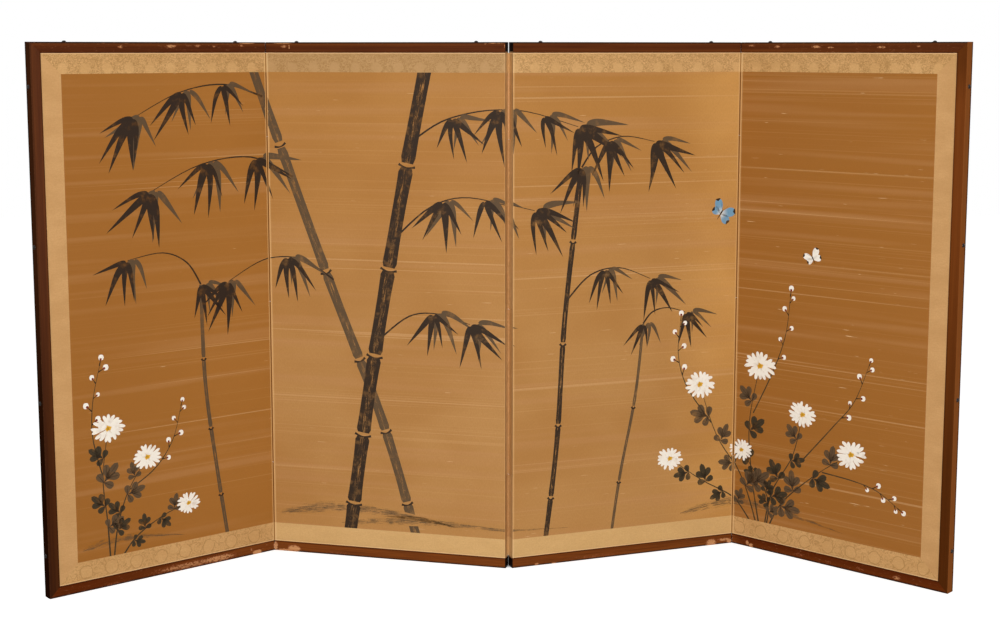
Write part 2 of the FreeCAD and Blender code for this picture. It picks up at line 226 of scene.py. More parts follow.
for board in boards:
    upright_cedar = cedar(f"cedar_upright_{board.index + 1}", board.heading, True)
    level_cedar = cedar(f"cedar_level_{board.index + 1}", board.heading, False)
    for kind, material in (
        ("core_stiles", upright_cedar),
        ("lattice_uprights", upright_cedar),
        ("core_rails", level_cedar),
        ("lattice_crossbars", level_cedar),
        ("front_lining", lining_paper),
        ("back_lining", lining_paper),
    ):
        for slot in frame["nodes"][f"{board.name}_{kind}"].material_slots:
            slot.material = material

# ---------------------------------------------------------------------------------------------
# Frame battens: a top and a bottom rail on each board, and an end stile at each end of the
# screen, mitred to its rails. Planed wood, grooved for the board's edge and lacquered dark red
# brown, rubbed through to the wood along the arrises and at the feet by the folds.
frame_face = 0.018
arris_radius = 0.0015
lip_thickness = 0.0014
lip_radius = 0.0006
groove_floor = 0.016
end_set_back = 0.0028
fold_inset = 0.0015
rail_inset_where_closed = 0.00001
rail_inset_at_ridge_top = 0.0005
mitre_gap = 0.0001
stud_inset_at_fold = 0.054
stud_inset_at_end = 0.065
pin_head_width = 0.0052
pin_recess = 0.0004
recess_play = 0.0001
recess_depth = 0.0022
hair = 0.00001


def near(value, target):
    return abs(value - target) < hair


def lies(item, axis, at):
    """Tells whether every corner of an edge or face is at one place along an axis."""
    return all(near(corner.co[axis], at) for corner in item.verts)


def all_of(bm):
    return bm.verts[:] + bm.edges[:] + bm.faces[:]


def drawn_out(made):
    """The new corners of an extrusion."""
    return [item for item in made["geom"] if isinstance(item, bmesh.types.BMVert)]


def batten(length, start_is_mitred, end_is_mitred):
    """A batten along X from the origin, outer face down, with its groove cut along the top."""
    bm = bmesh.new()
    bmesh.ops.create_cube(bm, size=1)
    bmesh.ops.translate(bm, vec=(0.5, 0.5, 0.5), verts=bm.verts)
    bmesh.ops.scale(bm, vec=(length, frame_depth, frame_face), verts=bm.verts)
    for corner in bm.verts:
        if start_is_mitred and corner.co.x < length / 2:
            corner.co.x = corner.co.z + mitre_gap
        if end_is_mitred and corner.co.x > length / 2:
            corner.co.x = length - corner.co.z - mitre_gap
    for z, radius, steps in ((0, arris_radius, 4), (frame_face, lip_radius, 2)):
        rim = [edge for edge in bm.edges if lies(edge, 2, z) and edge.calc_length() > length / 2]
        bmesh.ops.bevel(
            bm, geom=rim, offset=radius, segments=steps, profile=0.5, affect="EDGES", material=-1,
            clamp_overlap=True,
        )
    for place, normal in (
        ((0, lip_thickness, 0), (0, 1, 0)),
        ((0, frame_depth - lip_thickness, 0), (0, 1, 0)),
        ((0, 0, groove_floor), (0, 0, 1)),
    ):
        bmesh.ops.bisect_plane(bm, geom=all_of(bm), plane_co=place, plane_no=normal)
    waste = []
    for face in bm.faces:
        middle = face.calc_center_median()
        if lip_thickness < middle.y < frame_depth - lip_thickness and middle.z > groove_floor:
            waste.append(face)
    bmesh.ops.delete(bm, geom=waste, context="FACES")
    walls = (lip_thickness, frame_depth - lip_thickness)
    for y in walls:
        bm.edges.new([
            corner for corner in bm.verts
            if near(corner.co.y, y) and near(corner.co.z, groove_floor) and corner.is_boundary
        ])
    open_edges = [edge for edge in bm.edges if len(edge.link_faces) < 2]
    for axis, at in ((1, walls[0]), (1, walls[1]), (2, groove_floor)):
        bmesh.ops.contextual_create(bm, geom=[edge for edge in open_edges if lies(edge, axis, at)])
    bmesh.ops.recalc_face_normals(bm, faces=bm.faces)

    rub = bm.verts.layers.float.new("rub")
    deepest = arris_radius * (1 - math.sqrt(0.5))
    for corner in bm.verts:
        gaps = [min(corner.co.y, frame_depth - corner.co.y), corner.co.z, arris_radius]
        if not start_is_mitred:
            gaps.append(corner.co.x)
        if not end_is_mitred:
            gaps.append(length - corner.co.x)
        nearest = sorted(max(gap, 0) for gap in gaps)[:2]
        corner[rub] = min(nearest[0] * nearest[1] / deepest ** 2, 1) if nearest[1] < arris_radius else 0
    return bm


def bring_front_forward(bm):
    """Moves the front face of a placed batten out to the line that the front folds turn on, so that
    the ends of two rails stay closed at every angle."""
    forward = fold_line_play - rail_inset_where_closed
    for corner in bm.verts:
        corner.co.y -= forward * max(1 - corner.co.y / arris_radius, 0)


def add_recess(bm, x):
    """A square recess for a countersunk pin in the outer face, about one place along the batten."""
    half = pin_head_width / 2 + recess_play
    middle = frame_depth / 2
    for axis, at in ((0, x - half), (0, x + half), (1, middle - half), (1, middle + half)):
        faces = [face for face in bm.faces if lies(face, 2, 0) and face.calc_area() > (2 * half) ** 2 / 2]
        if axis == 1:
            faces = [face for face in faces if abs(face.calc_center_median().x - x) < half]
        edges = {edge for face in faces for edge in face.edges}
        corners = {corner for face in faces for corner in face.verts}
        place = Vector((0, 0, 0))
        normal = Vector((0, 0, 0))
        place[axis], normal[axis] = at, 1
        bmesh.ops.bisect_plane(bm, geom=[*faces, *edges, *corners], plane_co=place, plane_no=normal)
    mouth = [
        face for face in bm.faces
        if lies(face, 2, 0) and (face.calc_center_median() - Vector((x, middle, 0))).length < half
    ]
    made = bmesh.ops.extrude_face_region(bm, geom=mouth)
    bmesh.ops.translate(bm, vec=(0, 0, recess_depth), verts=drawn_out(made))
    stale = [face for face in mouth if face.is_valid]
    if stale:
        bmesh.ops.delete(bm, geom=stale, context="FACES_ONLY")


def fixing_places(board):
    """Where a board's rails are fixed to its core, along X."""
    left = stud_inset_at_end if board.left_is_end else stud_inset_at_fold
    right = stud_inset_at_end if board.right_is_end else stud_inset_at_fold
    return left, board_width - right


def put_on(board, bm, name, material, slot, *stands_for):
    """Finishes a piece that was made at its board's own place: keeps each point's place on the
    unfolded screen for the patterns, moves the piece to where the board stands, and rides it there."""
    unfolded = bm.verts.layers.float_vector.new("place")
    for corner in bm.verts:
        corner[unfolded] = corner.co + Vector((board.index * board_width, 0, 0))
    bmesh.ops.transform(bm, matrix=board.place, verts=bm.verts)
    mesh = bpy.data.meshes.new(name)
    bm.to_mesh(mesh)
    bm.free()
    mesh.shade_smooth()
    mesh.set_sharp_from_angle(angle=math.radians(35))
    mesh.materials.append(material)
    piece = bpy.data.objects.new(name, mesh)
    bpy.context.scene.collection.objects.link(piece)
    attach(piece, board.name)
    if stands_for:
        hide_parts(*stands_for)
    return piece


def even_faces(piece):
    """Keeps the flat faces beside rounded arrises evenly lit."""
    modifier = piece.modifiers.new("even_faces", "WEIGHTED_NORMAL")
    modifier.keep_sharp = True


def read(name, part="Vector"):
    """What is kept under a name at each point of a piece."""
    made = new_node("Attribute")
    made.attribute_name = name
    return Value(made.outputs[part])


def axes(place):
    """The three parts of a place: along the unfolded screen, front to back, and up."""
    return [Value(socket) for socket in new_node("SeparateXYZ", vector=place).outputs]


def on_outer_boards(x):
    """1 on the first and last boards, and 0 on the two between."""
    return stepped(abs(x - 2 * board_width), 0.430, 0.434)


def along_board(x):
    """How far along its own board a point is, from 0 to 1."""
    return maths("FRACT", x / board_width)


# Where the lacquer is knocked off: place along the unfolded screen, height, half length, half height,
# and how far it is off. Those at the top and at the foot go into two finishes, because one finish
# can't hold them all.
knocks = (
    (0.396, 0.0030, 0.0130, 0.0062, 1.00),
    (0.384, 0.0100, 0.0040, 0.0035, 0.80),
    (0.434, 0.0085, 0.0060, 0.0105, 0.95),
    (0.456, 0.0010, 0.0320, 0.0042, 0.95),
    (0.470, 0.0055, 0.0155, 0.0085, 1.00),
    (1.254, 0.0040, 0.0140, 0.0105, 0.95),
    (1.280, 0.0080, 0.0190, 0.0040, 0.85),
    (1.291, 0.0040, 0.0070, 0.0050, 0.95),
    (1.330, 0.0070, 0.0050, 0.0060, 0.90),
    (1.338, 0.0040, 0.0070, 0.0050, 0.95),
    (0.910, 0.0030, 0.0060, 0.0030, 0.85),
    (0.943, 0.0010, 0.0080, 0.0020, 0.85),
    (0.159, 0.9060, 0.0070, 0.0034, 0.80),
    (0.250, 0.9070, 0.0150, 0.0042, 0.80),
    (0.300, 0.9075, 0.0090, 0.0030, 0.76),
    (0.332, 0.9065, 0.0080, 0.0026, 0.76),
    (0.385, 0.9080, 0.0080, 0.0028, 0.74),
    (0.466, 0.9070, 0.0080, 0.0040, 0.78),
    (0.395, 0.9120, 0.0220, 0.0010, 0.90),
    (0.463, 0.9120, 0.0260, 0.0009, 0.90),
    (0.476, 0.9060, 0.0016, 0.0060, 0.85),
    (0.829, 0.9110, 0.0030, 0.0020, 0.85),
    (0.847, 0.9120, 0.0180, 0.0009, 0.90),
    (0.862, 0.9070, 0.0010, 0.0045, 0.90),
    (1.318, 0.9080, 0.0100, 0.0030, 0.76),
    (1.371, 0.9065, 0.0090, 0.0034, 0.78),
    (1.448, 0.9060, 0.0130, 0.0036, 0.84),
    (1.476, 0.9050, 0.0110, 0.0024, 0.80),
    (1.572, 0.9055, 0.0130, 0.0032, 0.82),
    (1.640, 0.9070, 0.0060, 0.0022, 0.76),
    (0.262, 0.0070, 0.1050, 0.0085, 0.77),
    (0.318, 0.0075, 0.0500, 0.0085, 0.83),
    (0.120, 0.0030, 0.0400, 0.0030, 0.66),
    (0.560, 0.0040, 0.0500, 0.0040, 0.62),
    (1.020, 0.0050, 0.0700, 0.0050, 0.62),
    (1.440, 0.0080, 0.0180, 0.0050, 0.66),
    (1.500, 0.0070, 0.0100, 0.0040, 0.66),
    (1.560, 0.0080, 0.0140, 0.0040, 0.66),
    (1.631, 0.0070, 0.0120, 0.0050, 0.78),
)


def vector_maths(operation, *given):
    made = new_node("VectorMath")
    made.operation = operation
    for socket, value in zip(made.inputs, given):
        plug(socket, value)
    return Value(made.outputs["Value" if operation == "LENGTH" else "Vector"])


def round_patch(place, x, z, half_length, half_height):
    """1 at one place on the unfolded screen, falling to 0 some way off."""
    off = vector_maths("LENGTH", measured(place, half_length, 0.05, half_height, start=(x, 0, z)))
    return stepped(off, 1.6, 0.3)


def lacquer(name, is_upright, marks=()):
    """Dark red-brown lacquer with the grain under it, blackened on the rails' outer faces and darkened
    with painted shade along the inner edge. It is paler on the inner boards' bottom rails and darker toward the
    uprights' feet. Where it is rubbed its red ground shows, and where it is knocked off the pale wood."""
    material, shader = new_finish(name, 0.5, 0.0 if is_upright else 0.04)
    place = read("place")
    rub = read("rub", "Fac")
    lengths = (0.0012, 0.0012, 0.09) if is_upright else (0.09, 0.0012, 0.0012)
    grain = mottle(measured(place, *lengths), 4, 0.6, 0.3)
    cloud = mottle(measured(place, *[length * 9 for length in lengths]), 2)
    specks = mottle(measured(place, 0.0042, 0.0042, 0.0028), 6, 0.75)
    coat = blended(stepped(grain, 0.3, 0.75), tone(68, 29, 10), tone(88, 42, 15))
    coat = blended(stepped(cloud, 0.42, 0.72), coat, tone(104, 54, 20))
    x, y, z = axes(place)
    if is_upright:
        middle = 2 * board_width
        rim = middle - end_set_back
        off_middle = abs(x - middle)
        left = stepped(x, middle + 0.1, middle - 0.1)
        rim_share = left * 0.6
        coat = blended(0.3, coat, blended(left, tone(151, 83, 32), tone(88, 57, 42)))
        toward_foot = stepped(z, 0.68, 0.18)
        coat = blended(toward_foot * 0.55, coat, tone(22, 6, 0))
        by_top = stepped(z, 0.80, 0.89) * (0.38 - left * 0.38)
        coat = blended(by_top, coat, tone(30, 12, 4))
    else:
        rim = screen_height / 2
        off_middle = abs(z - rim)
        low = stepped(z, rim + 0.1, rim - 0.1)
        streaks = stepped(grain, 0.3, 0.7) * 0.4 + 0.18
        pale = stepped(x, 0.02, 0.40) * stepped(x, 1.33, 1.29)
        coat = blended(low * pale * streaks, coat, tone(142, 76, 26))
        warm = low * (0.6 - pale * 0.6)
        coat = blended(warm, coat, tone(92, 34, 0))
        rim_share = 0.8
    rim_shade = stepped(off_middle, rim - 0.0040, rim - 0.0012) * rim_share
    coat = blended(rim_shade, coat, tone(54, 28, 16))
    if not is_upright:
        edge_line = stepped(off_middle, rim - 0.0024, rim - 0.0012) * 0.75
        coat = blended(edge_line, coat, tone(24, 12, 7))
    inner_edge = rim - frame_face
    # Painted shade: the lacquer darkens toward the inner edge of the batten's face.
    painted_inner_shade = stepped(off_middle, inner_edge + 0.0030, inner_edge + 0.0010) * 0.5
    coat = blended(painted_inner_shade, coat, tone(50, 18, 2))
    outer = stepped(off_middle, rim - 0.0006, rim - 0.0001)
    if is_upright:
        left_side = blended(toward_foot, tone(60, 31, 15), tone(33, 13, 4))
        side = blended(left, tone(134, 76, 34), left_side)
        by_back = stepped(y, 0.0145, 0.0165) * 0.7
        coat = blended(outer, coat, blended(by_back, side, tone(26, 12, 5)))
    else:
        off_board = abs(along_board(x) - 0.5)
        cut = stepped(off_board, 0.5 - 0.0009 / board_width, 0.5 - 0.0006 / board_width)
        coat = blended(maths("MAXIMUM", outer, cut), coat, tone(24, 12, 7))
    worn = rub * stepped(specks, 0.45, 0.65)
    coat = blended(worn * 0.15, coat, tone(150, 98, 58))
    if not is_upright:
        scuffs = mottle(measured(place, 0.0075, 0.01, 0.0016), 3, 0.6, 0.8)
        scuffed = stepped(scuffs, 0.62, 0.70) * on_outer_boards(x) * 0.45
        coat = blended(scuffed, coat, tone(160, 106, 72))
    knocked = 0.0
    for *patch, strength in marks:
        spot = round_patch(place, *patch) * strength
        knocked = maths("MAXIMUM", knocked, spot)
    ragged = (specks - 0.5) * 2.4
    torn = stepped(knocked + ragged, 0.66, 0.78)
    bare = blended(stepped(grain, 0.3, 0.7), tone(182, 122, 76), tone(208, 154, 106))
    bare = blended(stepped(knocked, 0.66, 0.84), tone(142, 80, 48), bare)
    coat = blended(torn * 0.9, coat, bare)
    plug(shader.inputs["Base Color"], coat)
    plug(shader.inputs["Roughness"], torn * 0.3 + 0.45)
    raised(shader, grain * 0.3 - torn, 0.00015)
    return material


stile_lacquer = lacquer("lacquer_upright", True)
top_lacquer = lacquer("lacquer_top", False, [mark for mark in knocks if mark[1] > screen_height / 2])
bottom_lacquer = lacquer("lacquer_bottom", False, [mark for mark in knocks if mark[1] < screen_height / 2])

for board in boards:
    for kind, is_top, rail_lacquer in (("bottom_rail", False, bottom_lacquer), ("top_rail", True, top_lacquer)):
        left, right = (
            end_set_back if is_end
            else rail_inset_where_closed if is_valley or not is_top
            else rail_inset_at_ridge_top
            for is_end, is_valley in (
                (board.left_is_end, board.left_is_valley), (board.right_is_end, board.right_is_valley)
            )
        )
        right = board_width - right
        bm = batten(right - left, board.left_is_end, board.right_is_end)
        if not is_top:
            for x in fixing_places(board):
                add_recess(bm, x - left)
        bmesh.ops.translate(bm, vec=(left, 0, 0), verts=bm.verts)
        if is_top:
            middle = Vector((0, frame_depth / 2, screen_height / 2))
            bmesh.ops.rotate(bm, cent=middle, matrix=Matrix.Rotation(math.pi, 3, "X"), verts=bm.verts)
        bring_front_forward(bm)
        name = f"{board.name}_{kind}"
        even_faces(put_on(board, bm, f"{name}_batten", rail_lacquer, "lacquer", name))
    if board.left_is_end or board.right_is_end:
        bm = batten(screen_height, True, True)
        turn = math.pi / 2 if board.left_is_end else -math.pi / 2
        bmesh.ops.rotate(bm, matrix=Matrix.Rotation(turn, 3, "Y"), verts=bm.verts)
        foot = (end_set_back, 0, screen_height) if board.left_is_end else (board_width - end_set_back, 0, 0)
        bmesh.ops.translate(bm, vec=foot, verts=bm.verts)
        bring_front_forward(bm)
        name = f"{board.name}_end_stile"
        even_faces(put_on(board, bm, f"{name}_batten", stile_lacquer, "lacquer", name))

# ---------------------------------------------------------------------------------------------
# Studs: forged iron nails with low hammered round heads, driven through the top rails and end
# stiles into the core, and square-headed pins countersunk under the bottom rails.
head_radius = 0.0036
head_height = 0.0023
hammer_dents = 0.00012
dents_per_metre = 700
stud_shank_width = 0.0025
stud_tip_width = 0.0008
stud_shank_length = 0.026
pin_head_height = 0.0018
end_stud_inset = 0.0715
end_stud_count = 4


def add_tapered(bm, top, wide, bottom, narrow):
    """A square shank about Z between two heights."""
    made = bmesh.ops.create_cone(
        bm, cap_ends=True, segments=4, depth=top - bottom,
        radius1=narrow / math.sqrt(2), radius2=wide / math.sqrt(2),
    )
    bmesh.ops.rotate(bm, matrix=Matrix.Rotation(math.pi / 4, 3, "Z"), verts=made["verts"])
    bmesh.ops.translate(bm, vec=(0, 0, (top + bottom) / 2), verts=made["verts"])


def hammered_stud(seed):
    """A nail that points down with the underside of its domed head at the origin."""
    bm = bmesh.new()
    profile = ((0, 1), (0.3, 0.96), (0.56, 0.82), (0.8, 0.56), (0.95, 0.26), (1, 0.08), (0.96, 0), (0, 0))
    corners = [bm.verts.new((head_radius * x, 0, head_height * z)) for x, z in profile]
    edges = [bm.edges.new(pair) for pair in zip(corners, corners[1:])]
    bmesh.ops.spin(
        bm, geom=corners + edges, axis=(0, 0, 1), cent=(0, 0, 0), angle=math.tau, steps=20, use_merge=True
    )
    bmesh.ops.remove_doubles(bm, verts=bm.verts, dist=hair)
    bmesh.ops.recalc_face_normals(bm, faces=bm.faces)
    for corner in bm.verts:
        if corner.co.z > head_height / 2:
            corner.co.z += hammer_dents * noise.noise(corner.co * dents_per_metre + Vector((seed, 0, 0)))
    add_tapered(bm, 0, stud_shank_width, -stud_shank_length, stud_tip_width)
    return bm


def add_shape(whole, part):
    """Adds a finished shape to another one."""
    shape = bpy.data.meshes.new("shape")
    part.to_mesh(shape)
    part.free()
    whole.from_mesh(shape)
    bpy.data.meshes.remove(shape)


def countersunk_pin():
    bm = bmesh.new()
    under = -pin_recess - pin_head_height
    add_tapered(bm, -pin_recess, pin_head_width, under, stud_shank_width)
    add_tapered(bm, under, stud_shank_width, -stud_shank_length, stud_tip_width)
    return bm


iron, shader = new_finish("iron", 0.38, 0.5)
shader.inputs["Metallic"].default_value = 0.6
own = own_place()
scale_marks = mottle(measured(own, 0.0012, 0.0012, 0.0012), 3)
dark = blended(stepped(scale_marks, 0.4, 0.7), tone(20, 17, 15), tone(44, 33, 27))
plug(shader.inputs["Base Color"], dark)
plug(shader.inputs["Roughness"], stepped(scale_marks, 0.1, 1.2))
raised(shader, scale_marks, 0.0001)

for board in boards:
    fixings = bmesh.new()
    places = []
    for x in fixing_places(board):
        places.append((True, (x, frame_depth / 2, screen_height), Matrix.Identity(4)))
        places.append((False, (x, frame_depth / 2, 0), Matrix.Rotation(math.pi, 4, "X")))
    if board.left_is_end or board.right_is_end:
        x = end_set_back if board.left_is_end else board_width - end_set_back
        turn = Matrix.Rotation(-math.pi / 2 if board.left_is_end else math.pi / 2, 4, "Y")
        step = (screen_height - 2 * end_stud_inset) / (end_stud_count - 1)
        for index in range(end_stud_count):
            places.append((True, (x, frame_depth / 2, end_stud_inset + step * index), turn))
    for seed, (is_stud, place, turn) in enumerate(places):
        nail = hammered_stud(seed + 10 * board.index) if is_stud else countersunk_pin()
        bmesh.ops.transform(nail, matrix=Matrix.Translation(place) @ turn, verts=nail.verts)
        add_shape(fixings, nail)
    put_on(board, fixings, f"{board.name}_studs_and_pins", iron, "iron", f"{board.name}_frame_studs")

# ---------------------------------------------------------------------------------------------
# Silk faces: one piece of gold-brown silk on each board, pasted over the lining and round the
# fold edges between the hinge papers. The weft's thick threads show as long level streaks.
covering_thickness = 0.0003
facing_front = 0.0015
lining_front = 0.002
lining_back = 0.018
leaf_thickness = 0.0004
board_bottom = groove_floor
board_top = screen_height - groove_floor
border_height = 0.0355
hinge_slit = 0.0002
hinge_zone_shares = (1 / 6, 1 / 3, 1 / 3, 1 / 6)

hinge_zones = []
zone_top = screen_height - frame_face
for share in hinge_zone_shares:
    zone_low = zone_top - share * (screen_height - 2 * frame_face)
    hinge_zones.append((zone_low + hinge_slit / 2, zone_top - hinge_slit / 2))
    zone_top = zone_low


def edge_of(board, side):
    """Where a board's edge lies along X, which side is inward, and whether it is an end or a valley."""
    if side == "left":
        inset = end_set_back + groove_floor if board.left_is_end else fold_inset
        return inset, 1, board.left_is_end, board.left_is_valley
    inset = end_set_back + groove_floor if board.right_is_end else fold_inset
    return board_width - inset, -1, board.right_is_end, board.right_is_valley


def span(board, in_from_end, in_from_fold):
    """Where a sheet starts and stops along X that is set in from its board's edges."""
    left, right = (
        edge_x + into * (in_from_end if is_end else in_from_fold)
        for edge_x, into, is_end, _ in (edge_of(board, "left"), edge_of(board, "right"))
    )
    return left, right


def hinge_duty(board, side, index):
    """Whether a hinge paper's flange is on a board's front, and whether it has a leaf on the edge."""
    starts_in_front = (index % 2 == 0) == (side == "right")
    return starts_in_front, starts_in_front != edge_of(board, side)[3]


def covering(board, outline, y, turned_at_valleys):
    """A thin sheet of (x, z) corners pasted on a board, and turned round the fold edges of one kind
    where no hinge paper covers them."""
    bm = bmesh.new()
    bm.faces.new([bm.verts.new((x, y, z)) for x, z in outline])
    inward = 1 if y < frame_depth / 2 else -1
    turn = lining_back - leaf_thickness - lining_front + abs(lining_front - facing_front)
    area = bm.faces[:][0].calc_area()
    for low, high in hinge_zones:
        for z in (low, high):
            bmesh.ops.bisect_plane(bm, geom=all_of(bm), plane_co=(0, 0, z), plane_no=(0, 0, 1))
    for side in ("left", "right"):
        edge_x, into, is_end, is_valley = edge_of(board, side)
        rim_x = edge_x - into * leaf_thickness
        if is_end or is_valley != turned_at_valleys:
            continue
        for index, (low, high) in enumerate(hinge_zones):
            if hinge_duty(board, side, index)[1]:
                continue
            rim = [
                edge for edge in bm.edges
                if lies(edge, 0, rim_x) and lies(edge, 1, y)
                and low < (edge.verts[0].co.z + edge.verts[1].co.z) / 2 < high
            ]
            made = bmesh.ops.extrude_edge_only(bm, edges=rim)
            bmesh.ops.translate(bm, vec=(0, inward * turn, 0), verts=drawn_out(made))
            area += sum(edge.calc_length() for edge in rim) * turn
    bmesh.ops.recalc_face_normals(bm, faces=bm.faces)
    if sum(face.normal.y * face.calc_area() for face in bm.faces) * inward > 0:
        bmesh.ops.reverse_faces(bm, faces=bm.faces)
    bmesh.ops.solidify(bm, geom=bm.faces[:], thickness=covering_thickness)
    bmesh.ops.recalc_face_normals(bm, faces=bm.faces)
    return bm, area


def by_edge(place, near_edge, inside):
    """1 within a short distance of a fold line and 0 further in."""
    off_board = abs(along_board(axes(place)[0]) - 0.5)
    return stepped(off_board, 0.5 - inside / board_width, 0.5 - near_edge / board_width)


def turned(place, face, edge):
    """A sheet's colours on its board's face and round the board's edge, with painted shade on the edge next to
    its front corner.
    """
    y = axes(place)[1]
    # Painted shade: the turned edge darkens toward the board's front corner.
    painted_edge_shade = stepped(y, 0.0070, 0.0025) * 0.5
    edge = blended(painted_edge_shade, edge, tone(104, 62, 26))
    return blended(stepped(y, 0.0019, 0.0026), face, edge)


def beside_fold(place, on_left, on_right):
    """How light a sheet's edge is beside a fold: one share along boards' left edges, one along right."""
    along = along_board(axes(place)[0])
    left = stepped(along, 0.0048 / board_width, 0.0024 / board_width)
    right = stepped(along, 1 - 0.0030 / board_width, 1 - 0.0018 / board_width)
    return left * on_left + right * on_right


def silk_colours(place):
    """The silk's ground: darker on the outer boards as painted shade and lighter toward the third fold as
    painted light, with broad clouds, dull bands, light lines that run right across a board, pale slubs a few
    centimetres long, and a fine weave."""
    x, _, z = axes(place)
    # Painted shade darkens the outer boards' ground, and painted light brightens the third board toward the
    # third fold.
    inner = blended(stepped(z, 0.80, 0.25), tone(171, 118, 56), tone(177, 129, 72))
    inner = blended(stepped(x, 1.13, 1.30), inner, tone(197, 144, 77))
    outer = blended(stepped(x, 0.06, 0.42), tone(149, 94, 33), tone(160, 104, 41))
    outer = blended(stepped(x, 1.20, 1.30), outer, tone(151, 96, 36))
    is_outer = on_outer_boards(x)
    silk = blended(is_outer, inner, outer)
    own_cloth = new_node("CombineXYZ")
    plug(own_cloth.inputs["Y"], maths("FLOOR", x / board_width) * 0.31)
    own = vector_maths("ADD", place, Value(own_cloth.outputs[0]))
    cloud = mottle(measured(own, 0.20, 0.05, 0.11), 2)
    silk = blended(stepped(cloud, 0.35, 0.7) * 0.34, silk, tone(152, 97, 32))
    bands = mottle(measured(own, 0.85, 0.05, 0.020), 2, 0.55)
    silk = blended(stepped(bands, 0.48, 0.72) * 0.34, silk, tone(182, 132, 84))
    for height, thinnest, thickest, share, colour in (
        (0.0044, 0.675, 0.755, 0.38, tone(206, 162, 112)),
        (0.0024, 0.610, 0.760, 0.24, tone(200, 154, 100)),
    ):
        lines = mottle(measured(own, 1.6, 0.05, height), 1)
        silk = blended(stepped(lines, thinnest, thickest) * share, silk, colour)
    slubs = mottle(measured(own, 0.034, 0.05, 0.0020), 1)
    slub_share = is_outer * 0.35 + 0.4
    silk = blended(stepped(slubs, 0.77, 0.84) * slub_share, silk, tone(236, 204, 158))
    weave = mottle(measured(place, 0.0010, 0.01, 0.004), 1)
    silk = blended(stepped(weave, 0.35, 0.65) * 0.14, silk, tone(136, 86, 34))
    silk = blended(beside_fold(place, 0.45, 0.2), silk, tone(220, 174, 118))
    return turned(place, silk, tone(190, 144, 90))


silk_finish, shader = new_finish("silk", 0.5, 0.22)
place = read("place")
plug(shader.inputs["Base Color"], silk_colours(place))
weft = mottle(measured(place, 0.006, 0.01, 0.0005), 2)
raised(shader, weft, 0.00004)

for board in boards:
    left, right = span(board, border_height, -leaf_thickness)
    low, high = board_bottom + border_height, board_top - border_height
    bm, area = covering(board, ((left, low), (right, low), (right, high), (left, high)), facing_front, False)
    name = f"{board.name}_painting_silk"
    piece = put_on(board, bm, f"{board.name}_silk_face", silk_finish, "silk", name)
    right - left
    area / (right - left)

# ---------------------------------------------------------------------------------------------
# Painting: bamboo in ink and white chrysanthemums in shell white, brushed on the silk before it was
# pasted. The strokes are laid out on the unfolded screen and cut where each board's face ends.
paint_thickness = 0.00003
first_lift = 0.00002
lift_step = 0.000003
root_share = 0.45
ink = (34, 26, 20)
thin_ink = (84, 66, 46)
leaf_ink = (52, 46, 32)
shell_white = (238, 231, 218)
petal_shade = (196, 178, 152)
pollen = (222, 168, 48)
calyx_red = (112, 34, 24)
wing_blue = (104, 146, 172)
painting = bmesh.new()
hand = random.Random(11)


def brush_line(points, share):
    """A place on the smooth line through some points, and the way that it runs there."""
    last = len(points) - 1
    index = min(int(share * last), last - 1)
    t = share * last - index
    a, b, c, d = (Vector(points[min(max(index + step, 0), last)]) for step in (-1, 0, 1, 2))
    once, twice, thrice = (c - a) / 2, a - b * 2.5 + c * 2 - d / 2, b * 1.5 - c * 1.5 + (d - a) / 2
    way = once + twice * 2 * t + thrice * 3 * t ** 2
    return b + once * t + twice * t ** 2 + thrice * t ** 3, way.normalized()


def brush(points, half_width, shape, colour, level, dryness=0.0, steps=10, across=2, rim=0.0, root=None):
    """One stroke: its half width follows a shape along it, and it lies above the strokes of lower
    levels. A rim makes its edges wetter than its middle, and a root gives its start another colour."""
    stroke = bmesh.new()
    pigment_of = stroke.verts.layers.float_color.new("pigment")
    dryness_of = stroke.verts.layers.float.new("dryness")
    brush_of = stroke.verts.layers.float_vector.new("brush")
    bmesh.ops.create_grid(stroke, x_segments=steps, y_segments=across, size=1)
    length = sum((Vector(a) - Vector(b)).length for a, b in zip(points, points[1:]))
    seed = hand.random() * 40
    for corner in stroke.verts:
        share, side = (corner.co.x + 1) / 2, corner.co.y
        place, way = brush_line(points, share)
        off = side * half_width * shape(share)
        lift = first_lift + lift_step * level
        corner.co = (place.x - way.y * off, facing_front - lift, place.y + way.x * off)
        here = tone(*colour)
        if root:
            start = tone(*root)
            mix = min(share / root_share, 1)
            here = [old + (new - old) * mix for old, new in zip(start, here)]
        corner[pigment_of] = here
        corner[dryness_of] = dryness * (1 - rim * abs(side) ** 2)
        corner[brush_of] = (share * length + seed, off, seed)
    bmesh.ops.remove_doubles(stroke, verts=stroke.verts, dist=hair / 2)
    add_shape(painting, stroke)


def toward(heading):
    """One unit on a heading, which turns from straight up to the right."""
    return Vector((math.sin(heading), math.cos(heading)))


def points_along(foot, step, *shares):
    """Places some shares of a step from a first one."""
    return [foot + step * share for share in shares]


def round_touch(share):
    return math.sqrt(max(4 * share * (1 - share), 0))


def tapered_leaf(share):
    return max(math.sin(math.pi * share ** 0.62), 0) ** 1.15


def petal(share):
    return max(math.sin(math.pi * share ** 1.5), 0) ** 0.6


def twig(share):
    return 1 - 0.7 * share


def cane(share):
    """A length of bamboo, drawn in at its middle and rounded over at its two joints."""
    ends = min(share, 1 - share) / 0.03
    return (0.88 + 0.14 * abs(2 * share - 1) ** 3) * min(0.75 + 0.25 * ends, 1)


